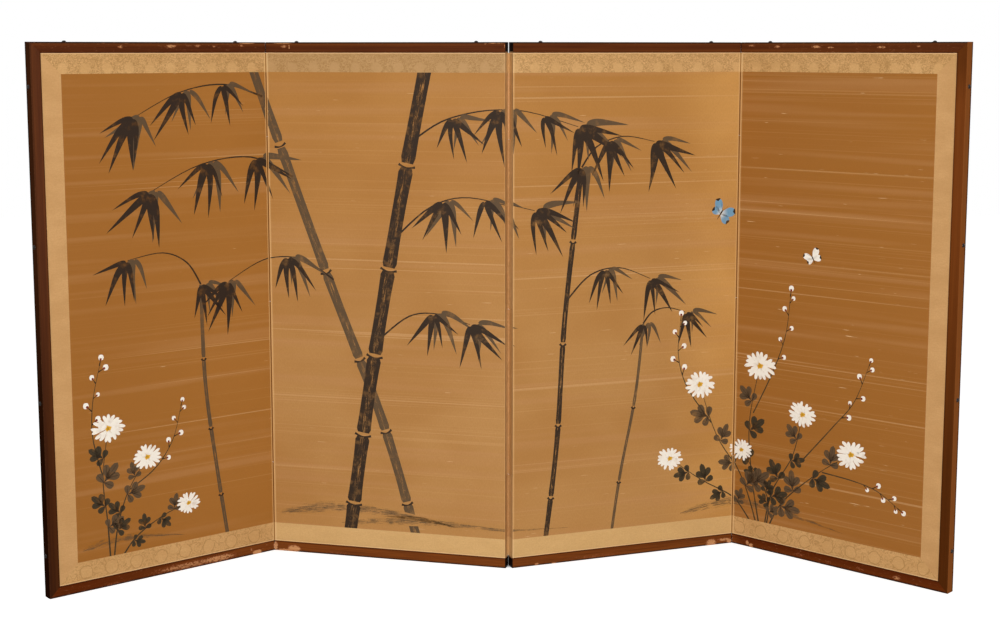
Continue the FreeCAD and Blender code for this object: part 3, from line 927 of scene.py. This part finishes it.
def bamboo(points, half_width, joints, colour, level):
    """A cane of some lengths, with silk showing at the joints and a dark hook of ink over each."""
    marks = [0, *joints, 1]
    gap = 0.004
    for start, end in zip(marks, marks[1:]):
        shares = [start + gap + (end - start - 2 * gap) * step / 4 for step in range(5)]
        part = [tuple(brush_line(points, share)[0]) for share in shares]
        brush(part, half_width, cane, colour, level, dryness=0.54, steps=16, across=8, rim=0.7)
    for joint in joints:
        place, way = brush_line(points, joint)
        across = Vector((-way.y, way.x))
        reach = half_width * 1.12
        sides = (-1, -0.5, 0, 0.5, 1)
        hook = [tuple(place + across * reach * side - way * 0.0035 * (1 - side ** 2)) for side in sides]
        brush(hook, 0.0016, lambda share: 0.6 + 0.8 * abs(2 * share - 1), ink, level + 1)


def leaf_spray(x, z, heading, spread, count, size, colour, level):
    """Leaves hanging in a fan from one point. The heading is turned from straight down."""
    for index in range(count):
        share = index / (count - 1) - 0.5
        turn = heading + share * spread + hand.uniform(-0.09, 0.09)
        length = size * hand.uniform(0.78, 1.15) * (1 - 0.35 * abs(share))
        bend = hand.uniform(-0.18, 0.18) + 0.12 * math.copysign(1, turn)
        first = Vector((math.sin(turn), -math.cos(turn)))
        last = Vector((math.sin(turn - bend), -math.cos(turn - bend)))
        start = Vector((x, z)) + first * 0.003
        points = [start, start + first * length * 0.35, start + first * length * 0.35 + last * length * 0.65]
        half_width = length * hand.uniform(0.062, 0.082)
        brush(points, half_width, tapered_leaf, colour, level + index, dryness=0.22, steps=12)


def chrysanthemum(x, z, radius, level, tilt=0.0):
    """Three rings of long petals about a yellow middle, seen a little from the side."""
    flat = 0.82
    middle = Vector((x, z))
    for ring, (count, reach, width) in enumerate(((17, 1.0, 0.105), (13, 0.70, 0.10), (8, 0.44, 0.09))):
        for index in range(count):
            turn = math.tau * (index + 0.5 * ring) / count + hand.uniform(-0.06, 0.06)
            way = Vector((math.cos(turn), math.sin(turn) * flat)) @ Matrix.Rotation(tilt, 2)
            side = Vector((-way.y, way.x))
            long = radius * reach * hand.uniform(0.90, 1.06)
            curl = hand.uniform(-0.10, 0.10) * long
            points = [middle + way * long * 0.16, middle + way * long * 0.6 + side * curl, middle + way * long]
            rank = level + 3 * ring + index % 3
            brush(points, radius * width, petal, shell_white, rank, dryness=0.10, steps=7, root=petal_shade)
    golden_turn = 2.4
    for index in range(9):
        turn, far = golden_turn * index, 0.055 * radius * math.sqrt(index)
        dab(x + far * math.cos(turn), z + far * math.sin(turn) * flat, radius * 0.062, pollen, level + 10)


def dab(x, z, radius, colour, level):
    """One round touch of a loaded brush."""
    brush(((x - radius, z), (x, z), (x + radius, z)), radius, round_touch, colour, level, steps=6)


def bud(x, z, heading, size, level):
    """A white bud in a dark red calyx, at the end of a short twig. The heading is turned from up."""
    way = toward(heading)
    foot = Vector((x, z))
    brush(points_along(foot, way * size, 0, 0.7, 1.3), size * 0.13, twig, ink, level, steps=4)
    head = foot + way * size * 1.6
    dab(head.x, head.y, size * 0.55, shell_white, level + 1)
    cup = foot + way * size * 1.25
    dab(cup.x, cup.y, size * 0.24, calyx_red, level + 2)


def lobed_leaf(x, z, heading, size, colour, level):
    """A chrysanthemum leaf of five fat touches, with its veins in darker ink."""
    foot = Vector((x, z))
    for turn, reach, start in (
        (0, 1.0, 0.1), (0.75, 0.62, 0.28), (-0.75, 0.62, 0.28), (1.35, 0.5, 0.06), (-1.35, 0.5, 0.06)
    ):
        root = foot + toward(heading) * size * start
        lobe = toward(heading + turn) * size * reach
        brush(points_along(root, lobe, 0, 0.5, 1), size * 0.17, petal, colour, level, dryness=0.38, steps=7)
        brush(points_along(root, lobe, 0, 0.45, 0.88), size * 0.018, twig, ink, level + 1, steps=4)


# Canes: the points of each, from its foot up, its half width, where its joints are, its ink and how
# high it lies over the others.
for points, half_width, joints, colour, level in (
    (((0.705, 0.030), (0.640, 0.250), (0.535, 0.520), (0.395, 0.900)),
     0.0095, (0.14, 0.31, 0.48, 0.66, 0.84), thin_ink, 0),
    (((0.575, 0.030), (0.615, 0.300), (0.668, 0.600), (0.728, 0.900)),
     0.0135, (0.11, 0.25, 0.41, 0.58, 0.77), ink, 3),
    (((0.925, 0.030), (0.948, 0.220), (0.962, 0.440), (0.992, 0.700)),
     0.0052, (0.18, 0.38, 0.60, 0.82), ink, 3),
    (((0.340, 0.030), (0.318, 0.180), (0.300, 0.330), (0.296, 0.500)), 0.0040, (0.22, 0.48, 0.74), thin_ink, 0),
    (((1.052, 0.030), (1.070, 0.150), (1.098, 0.290), (1.112, 0.420)), 0.0030, (0.30, 0.62), thin_ink, 0),
):
    bamboo(points, half_width, joints, colour, level)

# Branches: the points of each, then where its sprays hang, as shares of its length, with their
# heading, spread, number of leaves and size.
for points, sprays in (
    (((0.697, 0.745), (0.765, 0.785), (0.870, 0.800), (0.985, 0.770)), (
        (0.35, 0.2, 1.5, 4, 0.085), (0.62, -0.3, 1.3, 4, 0.092), (0.80, 0.5, 1.2, 3, 0.080),
        (1.0, 0.6, 1.6, 5, 0.098),
    )),
    (((0.664, 0.575), (0.730, 0.632), (0.800, 0.650), (0.905, 0.628)), (
        (0.45, -0.2, 1.5, 4, 0.090), (0.75, 0.3, 1.3, 3, 0.080), (1.0, 0.7, 1.5, 5, 0.095),
    )),
    (((0.633, 0.395), (0.690, 0.440), (0.745, 0.446), (0.800, 0.430)), (
        (0.6, 0.1, 1.5, 4, 0.080), (1.0, 0.5, 1.4, 4, 0.085),
    )),
    (((0.425, 0.820), (0.350, 0.842), (0.265, 0.830), (0.180, 0.790)), (
        (0.35, 0.2, 1.3, 3, 0.078), (0.65, -0.3, 1.4, 4, 0.088), (1.0, -0.6, 1.5, 5, 0.095),
    )),
    (((0.478, 0.680), (0.400, 0.715), (0.300, 0.706), (0.205, 0.664)), (
        (0.30, 0.3, 1.5, 4, 0.090), (0.62, -0.2, 1.5, 4, 0.098), (1.0, -0.5, 1.6, 5, 0.100),
    )),
    (((0.552, 0.500), (0.490, 0.535), (0.420, 0.532), (0.350, 0.500)), (
        (0.45, 0.1, 1.4, 4, 0.084), (1.0, -0.4, 1.5, 5, 0.090),
    )),
    (((0.296, 0.500), (0.270, 0.540), (0.225, 0.560), (0.160, 0.552)), (
        (0.0, 0.4, 1.3, 4, 0.070), (1.0, -0.5, 1.4, 4, 0.078),
    )),
    (((0.992, 0.700), (1.020, 0.735), (1.070, 0.752), (1.130, 0.742)), (
        (0.0, -0.4, 1.3, 4, 0.080), (0.5, 0.2, 1.3, 4, 0.084), (1.0, 0.5, 1.5, 5, 0.088),
    )),
    (((0.966, 0.470), (1.010, 0.512), (1.065, 0.522), (1.125, 0.500)), (
        (0.5, 0.0, 1.4, 4, 0.076), (1.0, 0.5, 1.4, 4, 0.082),
    )),
    (((1.112, 0.420), (1.130, 0.440), (1.160, 0.446), (1.195, 0.436)), (
        (0.0, -0.3, 1.2, 3, 0.056), (1.0, 0.5, 1.3, 4, 0.062),
    )),
):
    brush(points, 0.0017, twig, ink, 6, dryness=0.25, steps=18)
    for share, heading, spread, count, size in sprays:
        place, _ = brush_line(points, share)
        leaf_spray(place.x + 0.012, place.y + 0.004, heading + 0.35, spread, 3, size * 0.9, thin_ink, 7)
        leaf_spray(place.x, place.y, heading, spread, count, size, ink, 11)

# Chrysanthemums: the points of each stem, from its foot up, and the flower's radius.
for points, radius in (
    (((1.352, 0.030), (1.318, 0.120), (1.262, 0.205), (1.226, 0.302)), 0.030),
    (((1.356, 0.030), (1.336, 0.130), (1.328, 0.230), (1.348, 0.338)), 0.033),
    (((1.362, 0.030), (1.378, 0.110), (1.420, 0.185), (1.438, 0.262)), 0.028),
    (((1.366, 0.030), (1.400, 0.095), (1.470, 0.160), (1.536, 0.206)), 0.031),
    (((1.348, 0.030), (1.300, 0.085), (1.232, 0.125), (1.168, 0.170)), 0.026),
    (((1.364, 0.030), (1.372, 0.075), (1.362, 0.115), (1.312, 0.178)), 0.024),
    (((0.118, 0.030), (0.128, 0.100), (0.150, 0.160), (0.186, 0.212)), 0.027),
    (((0.114, 0.030), (0.110, 0.110), (0.104, 0.190), (0.116, 0.272)), 0.030),
    (((0.124, 0.030), (0.160, 0.075), (0.215, 0.105), (0.262, 0.118)), 0.023),
):
    brush(points, 0.0016, twig, leaf_ink, 8, dryness=0.15, steps=18)
    for share, side in ((0.30, 1), (0.45, -1), (0.62, 1), (0.78, -1)):
        place, way = brush_line(points, share)
        heading = math.atan2(way.x, way.y) + side * hand.uniform(0.7, 1.2)
        size = radius * hand.uniform(0.95, 1.3)
        lobed_leaf(place.x, place.y, heading, size, hand.choice((leaf_ink, thin_ink)), 9 + side)
    place, way = brush_line(points, 1)
    chrysanthemum(place.x, place.y, radius, 20, tilt=hand.uniform(-0.4, 0.4))

# Buds on side twigs: the points of each twig.
for points in (
    ((1.336, 0.250), (1.375, 0.330), (1.400, 0.400), (1.408, 0.470)),
    ((1.250, 0.230), (1.200, 0.300), (1.182, 0.360), (1.186, 0.420)),
    ((1.440, 0.180), (1.500, 0.250), (1.540, 0.300), (1.566, 0.366)),
    ((1.480, 0.165), (1.545, 0.160), (1.590, 0.150), (1.628, 0.128)),
    ((0.104, 0.190), (0.088, 0.260), (0.090, 0.320), (0.104, 0.380)),
    ((0.150, 0.160), (0.200, 0.190), (0.235, 0.235), (0.252, 0.292)),
):
    brush(points, 0.0012, twig, leaf_ink, 8, dryness=0.15, steps=14)
    for share, side in ((0.45, 1), (0.58, -1), (0.70, 1), (0.82, -1), (0.92, 1), (1.0, 0)):
        place, way = brush_line(points, share)
        heading = math.atan2(way.x, way.y) + side * hand.uniform(0.6, 1.0)
        bud(place.x, place.y, heading, hand.uniform(0.0065, 0.0095), 20)

# Two butterflies: wings of one touch each with dark tips, and a body with feelers.
for x, z, heading, size, wing in (
    (1.262, 0.610, 0.5, 0.030, wing_blue), (1.452, 0.540, -0.6, 0.022, shell_white)
):
    middle = Vector((x, z))
    for turn, reach, width in ((1.9, 0.75, 0.26), (-1.5, 0.62, 0.24), (0.95, 1.0, 0.28), (-0.7, 0.95, 0.26)):
        way = toward(heading + turn) * size
        points = points_along(middle, way * reach, 0, 0.5, 1)
        brush(points, size * width, petal, wing, 20, dryness=0.12, steps=8, root=shell_white)
        brush(points_along(points[2], way, -0.16, -0.06, 0), size * width * 0.62, petal, ink, 22, steps=5)
    way = toward(heading + 0.1) * size
    brush(points_along(middle, way, -0.42, 0, 0.28), size * 0.05, petal, ink, 24, steps=8)
    for side in (-0.35, 0.35):
        feeler = points_along(middle, way, 0.25) + points_along(middle, toward(heading + side) * size, 0.5, 0.72)
        brush(feeler, size * 0.010, twig, ink, 24, steps=5)

# Ground at the plants' feet: dry sweeps of a broad flat brush.
for points, half_width in (
    (((0.440, 0.070), (0.540, 0.088), (0.660, 0.084), (0.780, 0.066)), 0.012),
    (((0.560, 0.060), (0.680, 0.072), (0.800, 0.070), (0.980, 0.062)), 0.009),
    (((1.190, 0.066), (1.290, 0.080), (1.400, 0.078), (1.530, 0.062)), 0.011),
    (((0.062, 0.070), (0.120, 0.078), (0.180, 0.074), (0.260, 0.062)), 0.009),
):
    brush(points, half_width, tapered_leaf, thin_ink, 2, dryness=0.60, steps=24, across=8, rim=-0.35)

paint, shader = new_finish("ink_and_pigments", 0.6, 0.15)
place = read("place")
stroke_place = read("brush")
bristles = mottle(measured(stroke_place, 0.022, 0.0011, 1), 2, 0.6)
weave = mottle(measured(place, 0.0016, 0.01, 0.0012), 2, 0.6)
pools = mottle(measured(place, 0.018, 0.05, 0.018), 3, 0.6)
held = bristles * 0.5 + weave * 0.2 + pools * 0.3
level = read("dryness", "Fac") * 0.85
covered = stepped(held, level - 0.10, level + 0.06) * (0.97 - stepped(pools, 0.5, 0.75) * 0.3)
plug(shader.inputs["Base Color"], blended(covered, silk_colours(place), read("pigment", "Color")))
raised(shader, held, 0.00003)

strokes = bpy.data.meshes.new("strokes")
painting.to_mesh(strokes)
painting.free()
for board in boards:
    start = board.index * board_width
    left, right = span(board, border_height, 0)
    part = bmesh.new()
    part.from_mesh(strokes)
    for plane, outward in (
        ((start + left, 0, 0), (-1, 0, 0)),
        ((start + right, 0, 0), (1, 0, 0)),
        ((0, 0, board_bottom + border_height), (0, 0, -1)),
        ((0, 0, board_top - border_height), (0, 0, 1)),
    ):
        bmesh.ops.bisect_plane(part, geom=all_of(part), plane_co=plane, plane_no=outward, clear_outer=True)
    bmesh.ops.dissolve_degenerate(part, dist=hair / 4, edges=part.edges)
    for face in part.faces:
        if face.normal.y > 0:
            face.normal_flip()
    bmesh.ops.solidify(part, geom=part.faces[:], thickness=paint_thickness)
    bmesh.ops.translate(part, vec=(-start, 0, 0), verts=part.verts)
    put_on(board, part, f"{board.name}_painting", paint, "silk")
bpy.data.meshes.remove(strokes)

# ---------------------------------------------------------------------------------------------
# Brocade borders: strips of cream-gold figured silk pasted round the painting, their outer edges
# in the battens' grooves. The bands above and below are mitred to the side strips at the two ends.
patch_pitch = 0.0385
patch_height = 0.8705
roundel_pitch = 0.046
roundel_height = 0.033
roundel_radius = 0.0115


def off_cell_middle(place, cell, start, scale):
    """How far a point is from the middle of its cell, in an even field of cells of one size."""
    cells = vector_maths("FRACTION", measured(place, *cell, start=start))
    return vector_maths("LENGTH", vector_maths("MULTIPLY_ADD", cells, scale, [-part / 2 for part in scale]))


def rounds(place, pitch, height):
    """Distances from points at one height, one pitch apart along the screen."""
    return off_cell_middle(place, (pitch, 10, 10), (0, 0, height - 5), (pitch, 0, 10))


def contours(value, half_width):
    """Thin lines where a value passes through its middle."""
    return stepped(abs(value - 0.5), half_width, half_width / 3)


def brocade(name, is_band, ground):
    """Cream-gold silk. The bands have fine curled strokes round plain patches along the top, and
    outlined roundels along the foot of the outer boards; the side strips are almost plain."""
    material, shader = new_finish(name, 0.5, 0.25)
    place = read("place")
    ribs = mottle(measured(place, 0.012, 0.01, 0.0008), 2)
    cloud = mottle(measured(place, 0.07, 0.05, 0.03), 2)
    gold = blended(stepped(cloud, 0.3, 0.7), tone(*ground), tone(*[level + 9 for level in ground]))
    gold = blended(stepped(ribs, 0.35, 0.65) * 0.22, gold, tone(172, 126, 72))
    crepe = mottle(measured(place, 0.0026, 0.01, 0.0026), 3, 0.7)
    gold = blended(stepped(crepe, 0.36, 0.64) * 0.2, gold, tone(164, 116, 64))
    lines = ribs
    x, _, z = axes(place)
    if is_band:
        at_top = stepped(z, 0.45, 0.46)
        is_outer = on_outer_boards(x)
        at_foot = (1 - at_top) * is_outer
        curls = contours(mottle(measured(place, 0.0046, 0.01, 0.0040), 1, 0.5, 1.2), 0.10)
        wander = mottle(measured(place, 0.012, 0.01, 0.012), 2)
        uneven = (wander - 0.5) * 0.008
        patch = stepped(rounds(place, patch_pitch, patch_height) + uneven, 0.0070, 0.0105)
        top_lines = curls * patch * at_top
        off_ring = rounds(place, roundel_pitch, roundel_height)
        outline = stepped(abs(off_ring + uneven - roundel_radius), 0.0011, 0.0004)
        broken = outline * stepped(wander, 0.34, 0.46)
        outside = stepped(off_ring, 0.009, 0.013)
        tendrils = contours(mottle(measured(place, 0.0085, 0.01, 0.0095), 1, 0.5, 1.2), 0.05)
        foot_curls = tendrils * outside * 0.8
        foot_lines = maths("MAXIMUM", broken, foot_curls) * at_foot
        faint = curls * 0.16
        lines = maths("MAXIMUM", maths("MAXIMUM", top_lines, foot_lines), faint)
        second_board = stepped(abs(x - 1.5 * board_width), 0.217, 0.215)
        gold = blended(second_board * at_top * 0.55, gold, tone(158, 122, 78))
        plain_foot = (1 - at_top) * (1 - is_outer)
        gold = blended(plain_foot * 0.4, gold, tone(212, 176, 116))
        gold = blended(lines * 0.62, gold, tone(146, 106, 54))
    gold = blended(beside_fold(place, 0.4, 0.2), gold, tone(228, 190, 138))
    gold = turned(place, gold, tone(196, 154, 100))
    off_middle = abs(z - screen_height / 2)
    lip = screen_height / 2 - frame_face
    by_batten = stepped(off_middle, lip - 0.0020, lip - 0.0008)
    gold = blended(by_batten * 0.7, gold, tone(240, 196, 142))
    plug(shader.inputs["Base Color"], gold)
    raised(shader, lines, 0.00006)
    return material


band_brocade = brocade("brocade_bands", True, (197, 153, 97))
side_brocade = brocade("brocade_sides", False, (190, 145, 92))

for board in boards:
    outer_left, outer_right = span(board, 0, -leaf_thickness)
    inner_left, inner_right = span(board, border_height, -leaf_thickness)
    both = bmesh.new()
    total = 0
    for outer, inner in ((board_bottom, board_bottom + border_height), (board_top, board_top - border_height)):
        outline = ((outer_left, outer), (outer_right, outer), (inner_right, inner), (inner_left, inner))
        bm, area = covering(board, outline, facing_front, False)
        total += area
        add_shape(both, bm)
    piece = put_on(board, both, f"{board.name}_brocade", band_brocade, "brocade", f"{board.name}_brocade_bands")
    length = outer_right - outer_left
    min(total, 2 * border_height * length)
    if board.left_is_end or board.right_is_end:
        outer, inner = (outer_left, inner_left) if board.left_is_end else (outer_right, inner_right)
        low, high = board_bottom + border_height, board_top - border_height
        outline = ((outer, board_bottom), (inner, low), (inner, high), (outer, board_top))
        bm, area = covering(board, outline, facing_front, False)
        name = f"{board.name}_side_brocade"
        piece = put_on(board, bm, f"{board.name}_side_strip", side_brocade, "brocade", name)

# ---------------------------------------------------------------------------------------------
# Hinge papers: on each fold edge four folded papers of many layers, toned like the silk. Each is
# pasted on one board's face or back, runs round the edge, and crosses the gap to the crease.
flange_width = 0.028
paper_thickness = 0.0003

hinge_finish, shader = new_finish("hinge_paper", 0.75, 0.1)
place = read("place")
fibres = mottle(measured(place, 0.002, 0.004, 0.012), 4, 0.6, 1)
_, y, z = axes(place)
border_inside = screen_height / 2 - board_bottom - border_height
by_brocade = stepped(abs(z - screen_height / 2), border_inside - 0.001, border_inside)
paper = blended(stepped(fibres, 0.3, 0.7), tone(180, 136, 84), tone(198, 152, 100))
paper = blended(by_brocade, paper, tone(200, 158, 104))
valley = blended(by_brocade, tone(216, 168, 110), tone(222, 182, 128))
# Painted shade: the paper darkens in the crease of a valley fold.
crease = blended(by_brocade, tone(116, 72, 24), tone(150, 108, 56))
valley = blended(by_edge(place, 0.0006, 0.0010), valley, crease)
paper = turned(place, valley, paper)
at_back = stepped(y, 0.0184, 0.0190)
first_slit = 0.750
upper_zone = stepped(z, first_slit - 0.0005, first_slit + 0.0005) * (1 - by_brocade)
crease_share = at_back * (upper_zone * 0.4 + 0.1)
paper = blended(crease_share, paper, tone(220, 178, 130))
plug(shader.inputs["Base Color"], paper)
raised(shader, fibres, 0.0001)


def hinge_line(board, side, index):
    """The run of one hinge paper seen from above, from the end of its flange to the crease, as
    (distance inward from the board's edge, y) points through the middle of its thickness."""
    in_front, on_edge = hinge_duty(board, side, index)
    is_valley = edge_of(board, side)[3]
    half = leaf_thickness / 2
    front, back = lining_front + half, lining_back - half
    start = front if in_front else back
    finish = front if is_valley else back
    line = [(flange_width, start), (-half, start)]
    if on_edge:
        line.append((-half, finish))
    line.append((fold_line_play - fold_inset, half if is_valley else frame_depth - half))
    return line


for board in boards:
    for side in ("left", "right"):
        edge_x, into, is_end, is_valley = edge_of(board, side)
        if is_end:
            continue
        papers = bmesh.new()
        area = 0
        for index, (low, high) in enumerate(hinge_zones):
            line = hinge_line(board, side, index)
            corners = [papers.verts.new((edge_x + into * u, y, low)) for u, y in line]
            edges = [papers.edges.new(pair) for pair in zip(corners, corners[1:])]
            area += sum(edge.calc_length() for edge in edges) * (high - low)
            made = bmesh.ops.extrude_edge_only(papers, edges=edges)
            bmesh.ops.translate(papers, vec=(0, 0, high - low), verts=drawn_out(made))
        bmesh.ops.recalc_face_normals(papers, faces=papers.faces)
        bmesh.ops.solidify(papers, geom=papers.faces[:], thickness=paper_thickness)
        fold_line = -fold_line_play if is_valley else frame_depth + fold_line_play
        crease = Vector((edge_x - into * fold_inset, fold_line))
        for corner in papers.verts:
            if into * (corner.co.x - edge_x) < -2 * leaf_thickness:
                corner.co.xy = crease
        bmesh.ops.remove_doubles(papers, verts=papers.verts, dist=hair)
        bmesh.ops.recalc_face_normals(papers, faces=papers.faces)
        name = f"{board.name}_{side}_hinge_papers"
        piece = put_on(board, papers, f"{board.name}_{side}_hinge_sheets", hinge_finish, "hinge_paper", name)
        tall = hinge_zones[0][1] - hinge_zones[-1][0]

# ---------------------------------------------------------------------------------------------
# Back papers: a dull green mulberry paper printed in mica with the traditional interlocking
# circles, pasted over each back and round the edges of the folds that close forwards.
back_face = 0.0185

back_finish, shader = new_finish("back_paper", 0.8, 0.2)
place = read("place")
circle_pitch = 0.030
circle_line = 0.0
for shift in (0, circle_pitch / 2):
    radius = off_cell_middle(place, (circle_pitch, 1, circle_pitch), (shift, 0, shift), (1, 0, 1))
    circle_line = maths("MAXIMUM", circle_line, stepped(abs(radius - 0.5), 0.04, 0.022))
fibres = mottle(measured(place, 0.003, 0.01, 0.003), 4, 0.65, 1.5)
worn_print = circle_line * stepped(fibres, 0.3, 0.6)
paper = blended(stepped(fibres, 0.3, 0.7), tone(92, 98, 76), tone(108, 112, 88))
paper = blended(worn_print * 0.75, paper, tone(170, 164, 130))
plug(shader.inputs["Base Color"], paper)
raised(shader, fibres, 0.0001)

for board in boards:
    left, right = span(board, 0, -leaf_thickness)
    outline = ((left, board_bottom), (right, board_bottom), (right, board_top), (left, board_top))
    bm, area = covering(board, outline, back_face, True)
    piece = put_on(board, bm, f"{board.name}_back_sheet", back_finish, "back_paper", f"{board.name}_back_paper")
    right - left
    area / (right - left)

# ---------------------------------------------------------------------------------------------
# Floor, lamps and white surroundings. The floor is white where it is seen and keeps the screen's
# shadow. A wide soft lamp stands behind the camera and a weaker one hangs above it.
floor_half_width = 6
crevice_reach = 0.015
floor_grey = 0.85
white = (1, 1, 1, 1)
seen_strength = 1.0
unseen_strength = 0.35
bm = bmesh.new()
bmesh.ops.create_grid(bm, x_segments=1, y_segments=1, size=floor_half_width)
floor_mesh = bpy.data.meshes.new("floor")
bm.to_mesh(floor_mesh)
bm.free()
floor = bpy.data.objects.new("floor", floor_mesh)
bpy.context.scene.collection.objects.link(floor)
white_floor, shader = new_finish("white_floor", 0.9, 0.1)
floor_mesh.materials.append(white_floor)
shader.inputs["Base Color"].default_value = (floor_grey, floor_grey, floor_grey, 1)
shader.inputs["Emission Color"].default_value = white
seen = Value(new_node("LightPath").outputs["Is Camera Ray"])
openness = Value(new_node("AmbientOcclusion", distance=crevice_reach).outputs["AO"])
# The glow seen by the camera fades out where the floor is closed in under the screen, which paints contact shade
# there.
plug(shader.inputs["Emission Strength"], seen * (stepped(openness, 0.15, 0.5) * 0.7))

world = bpy.data.worlds.new("surroundings")
bpy.context.scene.world = world
world.use_nodes = True
Value.tree = world.node_tree
sky = world.node_tree.nodes["Background"]
sky.inputs["Color"].default_value = white
rays = new_node("LightPath").outputs
seen = 0.0
for kind in ("Camera", "Transmission", "Glossy"):
    seen = maths("MAXIMUM", seen, Value(rays[f"Is {kind} Ray"]))
plug(sky.inputs["Strength"], seen * (seen_strength - unseen_strength) + unseen_strength)

lamps_aim = Vector((0, 0, 0.45))
for name, place, power, size in (
    ("front_lamp", (0.0, -3.8, 0.95), 104, 1.8),
    ("top_lamp", (0.0, -2.4, 3.2), 9, 2.0),
):
    lamp = bpy.data.objects.new(name, bpy.data.lights.new(name, "AREA"))
    lamp.data.energy = power
    lamp.data.size = size
    lamp.location = place
    lamp.rotation_euler = (lamps_aim - Vector(place)).to_track_quat("-Z", "Y").to_euler()
    bpy.context.scene.collection.objects.link(lamp)

bpy.context.scene.view_settings.view_transform = "Standard"
